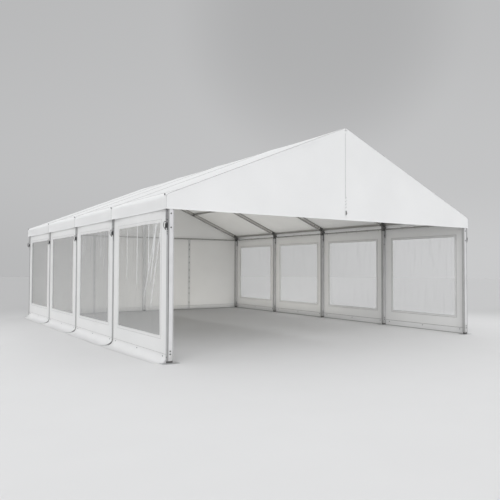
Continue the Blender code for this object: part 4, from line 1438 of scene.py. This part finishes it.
def rail_clip(bm):
    """A cup on the upright's face that holds the end of the wall rail."""
    add_box(bm, (0.056, 0.060, 0.004), (0, 0, 0.0020), 0.001)
    add_disc(bm, 0.0270, 0.0255, 0.030, (0, 0, 0.0190), 16)


def lug(bm):
    """The drop plate under a knee that takes the wall rail's end, up along Y."""
    add_box(bm, (0.026, 0.250, 0.008), (0, 0, 0.004), 0.002)
    for y in (-0.105, 0.0, 0.105):
        add_disc(bm, 0.0080, 0.0080, 0.0050, (0, y, 0.0100), 6)


LUG_X, LUG_Z = 4.470, 2.895
lugs = [
    ((side * LUG_X, y - PROFILE_DEPTH / 2, LUG_Z), (0, -1, 0), (-1, 0, 0))
    for y in PORTAL_Y[1:]
    for side in (-1, 1)
]
fittings("rail_drop_plates", lug, lugs, bolt_metal, "steel")
clips = [
    ((side * RAIL_X, y + facing * PROFILE_DEPTH / 2, RAIL_Z), (0, facing, 0), UP)
    for y, facing in inner_faces
    for side in (-1, 1)
]
fittings("rail_clips", rail_clip, clips, bolt_metal, "steel")


# %% Ratchets, screws and studs
def ratchet(bm):
    """The roof's tensioner on the upright's outer face: base, cheeks, spool and lever."""
    add_box(bm, (0.150, 0.036, 0.003), (-0.020, 0, 0.0015))
    for y in (-0.0165, 0.0165):
        add_box(bm, (0.088, 0.003, 0.040), (-0.009, y, 0.0225))
    add_disc(bm, 0.010, 0.010, 0.044, (0.012, 0, 0.026), 12, "Y")
    add_disc(bm, 0.015, 0.015, 0.003, (0.012, 0.0225, 0.026), 14, "Y")
    add_disc(bm, 0.015, 0.015, 0.003, (0.012, -0.0225, 0.026), 14, "Y")
    add_box(bm, (0.098, 0.028, 0.005), (-0.031, 0, 0.044), 0.0015)
    add_box(bm, (0.014, 0.034, 0.010), (-0.084, 0, 0.040), 0.003)


def button(bm):
    add_disc(bm, 0.0140, 0.0125, 0.0030, (0, 0, 0.0015), 16)
    add_disc(bm, 0.0085, 0.0060, 0.0030, (0, 0, 0.0045), 12)


def knob(bm):
    """The plastic head of the screw that pins a roof seam at the eave."""
    add_disc(bm, 0.0180, 0.0170, 0.0100, (0, 0, 0.0050), 16)
    add_disc(bm, 0.0170, 0.0120, 0.0050, (0, 0, 0.0125), 16)


def on_posts(x, *heights):
    """A place on the outside of every upright at each height."""
    return [((side * x, y, z), (side, 0, 0), UP) for side in (-1, 1) for y in PORTAL_Y for z in heights]


def on_walls(x, facing):
    """Three places along the foot of every side wall, facing out or in."""
    return [
        ((side * x, y + s, 0.12), (side * facing, 0, 0), UP)
        for side in (-1, 1)
        for y in BAY_Y
        for s in (-1.30, 0.0, 1.30)
    ]


fittings("roof_ratchets", ratchet, on_posts(HALF_WIDTH, 2.612), dark_plastic, "steel")
fittings("eye_plates", button, on_posts(HALF_WIDTH, 2.485, 2.445, 2.715, 0.12), bolt_metal, "steel")
fittings("valance_screws", knob, on_posts(VALANCE_X + 0.0006, 3.196), dark_plastic, "steel")
studs = on_walls(WALL_X + 0.0045, 1) + on_walls(WALL_X - 0.0016, -1)
fittings("wall_studs", button, studs, dark_plastic, "steel")


# %% Straps and caps
STRAP_HALF = 0.024
STRAP_PATH = [(4.520, 2.642), (4.526, 2.67), (4.528, 2.75), (4.526, 2.85), (4.527, 2.95), (4.533, 3.04), (4.541, 3.12)]


def strap(side, y):
    """Webbing from the ratchet's spool up behind the valance to the roof's edge."""
    return np.array([[(side * x, y + half * STRAP_HALF * side, z) for half in (-1, 1)] for x, z in STRAP_PATH])


sewn_strips("roof_straps", [strap(side, y) for side in (-1, 1) for y in PORTAL_Y], 0.002, webbing)


def ridge_cap(bm):
    """A moulded cap over the end of the roof's ridge seam."""
    add_box(bm, (0.060, 0.026, 0.022), (0, 0, 0.010), 0.006)
    add_disc(bm, 0.006, 0.005, 0.004, (0.018, 0, 0.0225), 10)
    add_disc(bm, 0.006, 0.005, 0.004, (-0.018, 0, 0.0225), 10)


caps = [
    ((0, y, RIDGE_Z - 0.055), (0, facing, 0), (1, 0, 0))
    for y, facing in ((front_y - 0.0006, -1), (back_y + 0.0006, 1))
]
fittings("ridge_caps", ridge_cap, caps, white_plastic, "fabric")
print("fittings:", len(bolts), "bolts,", len(brackets), "brackets,", len(clips), "rail clips,", len(studs), "studs")
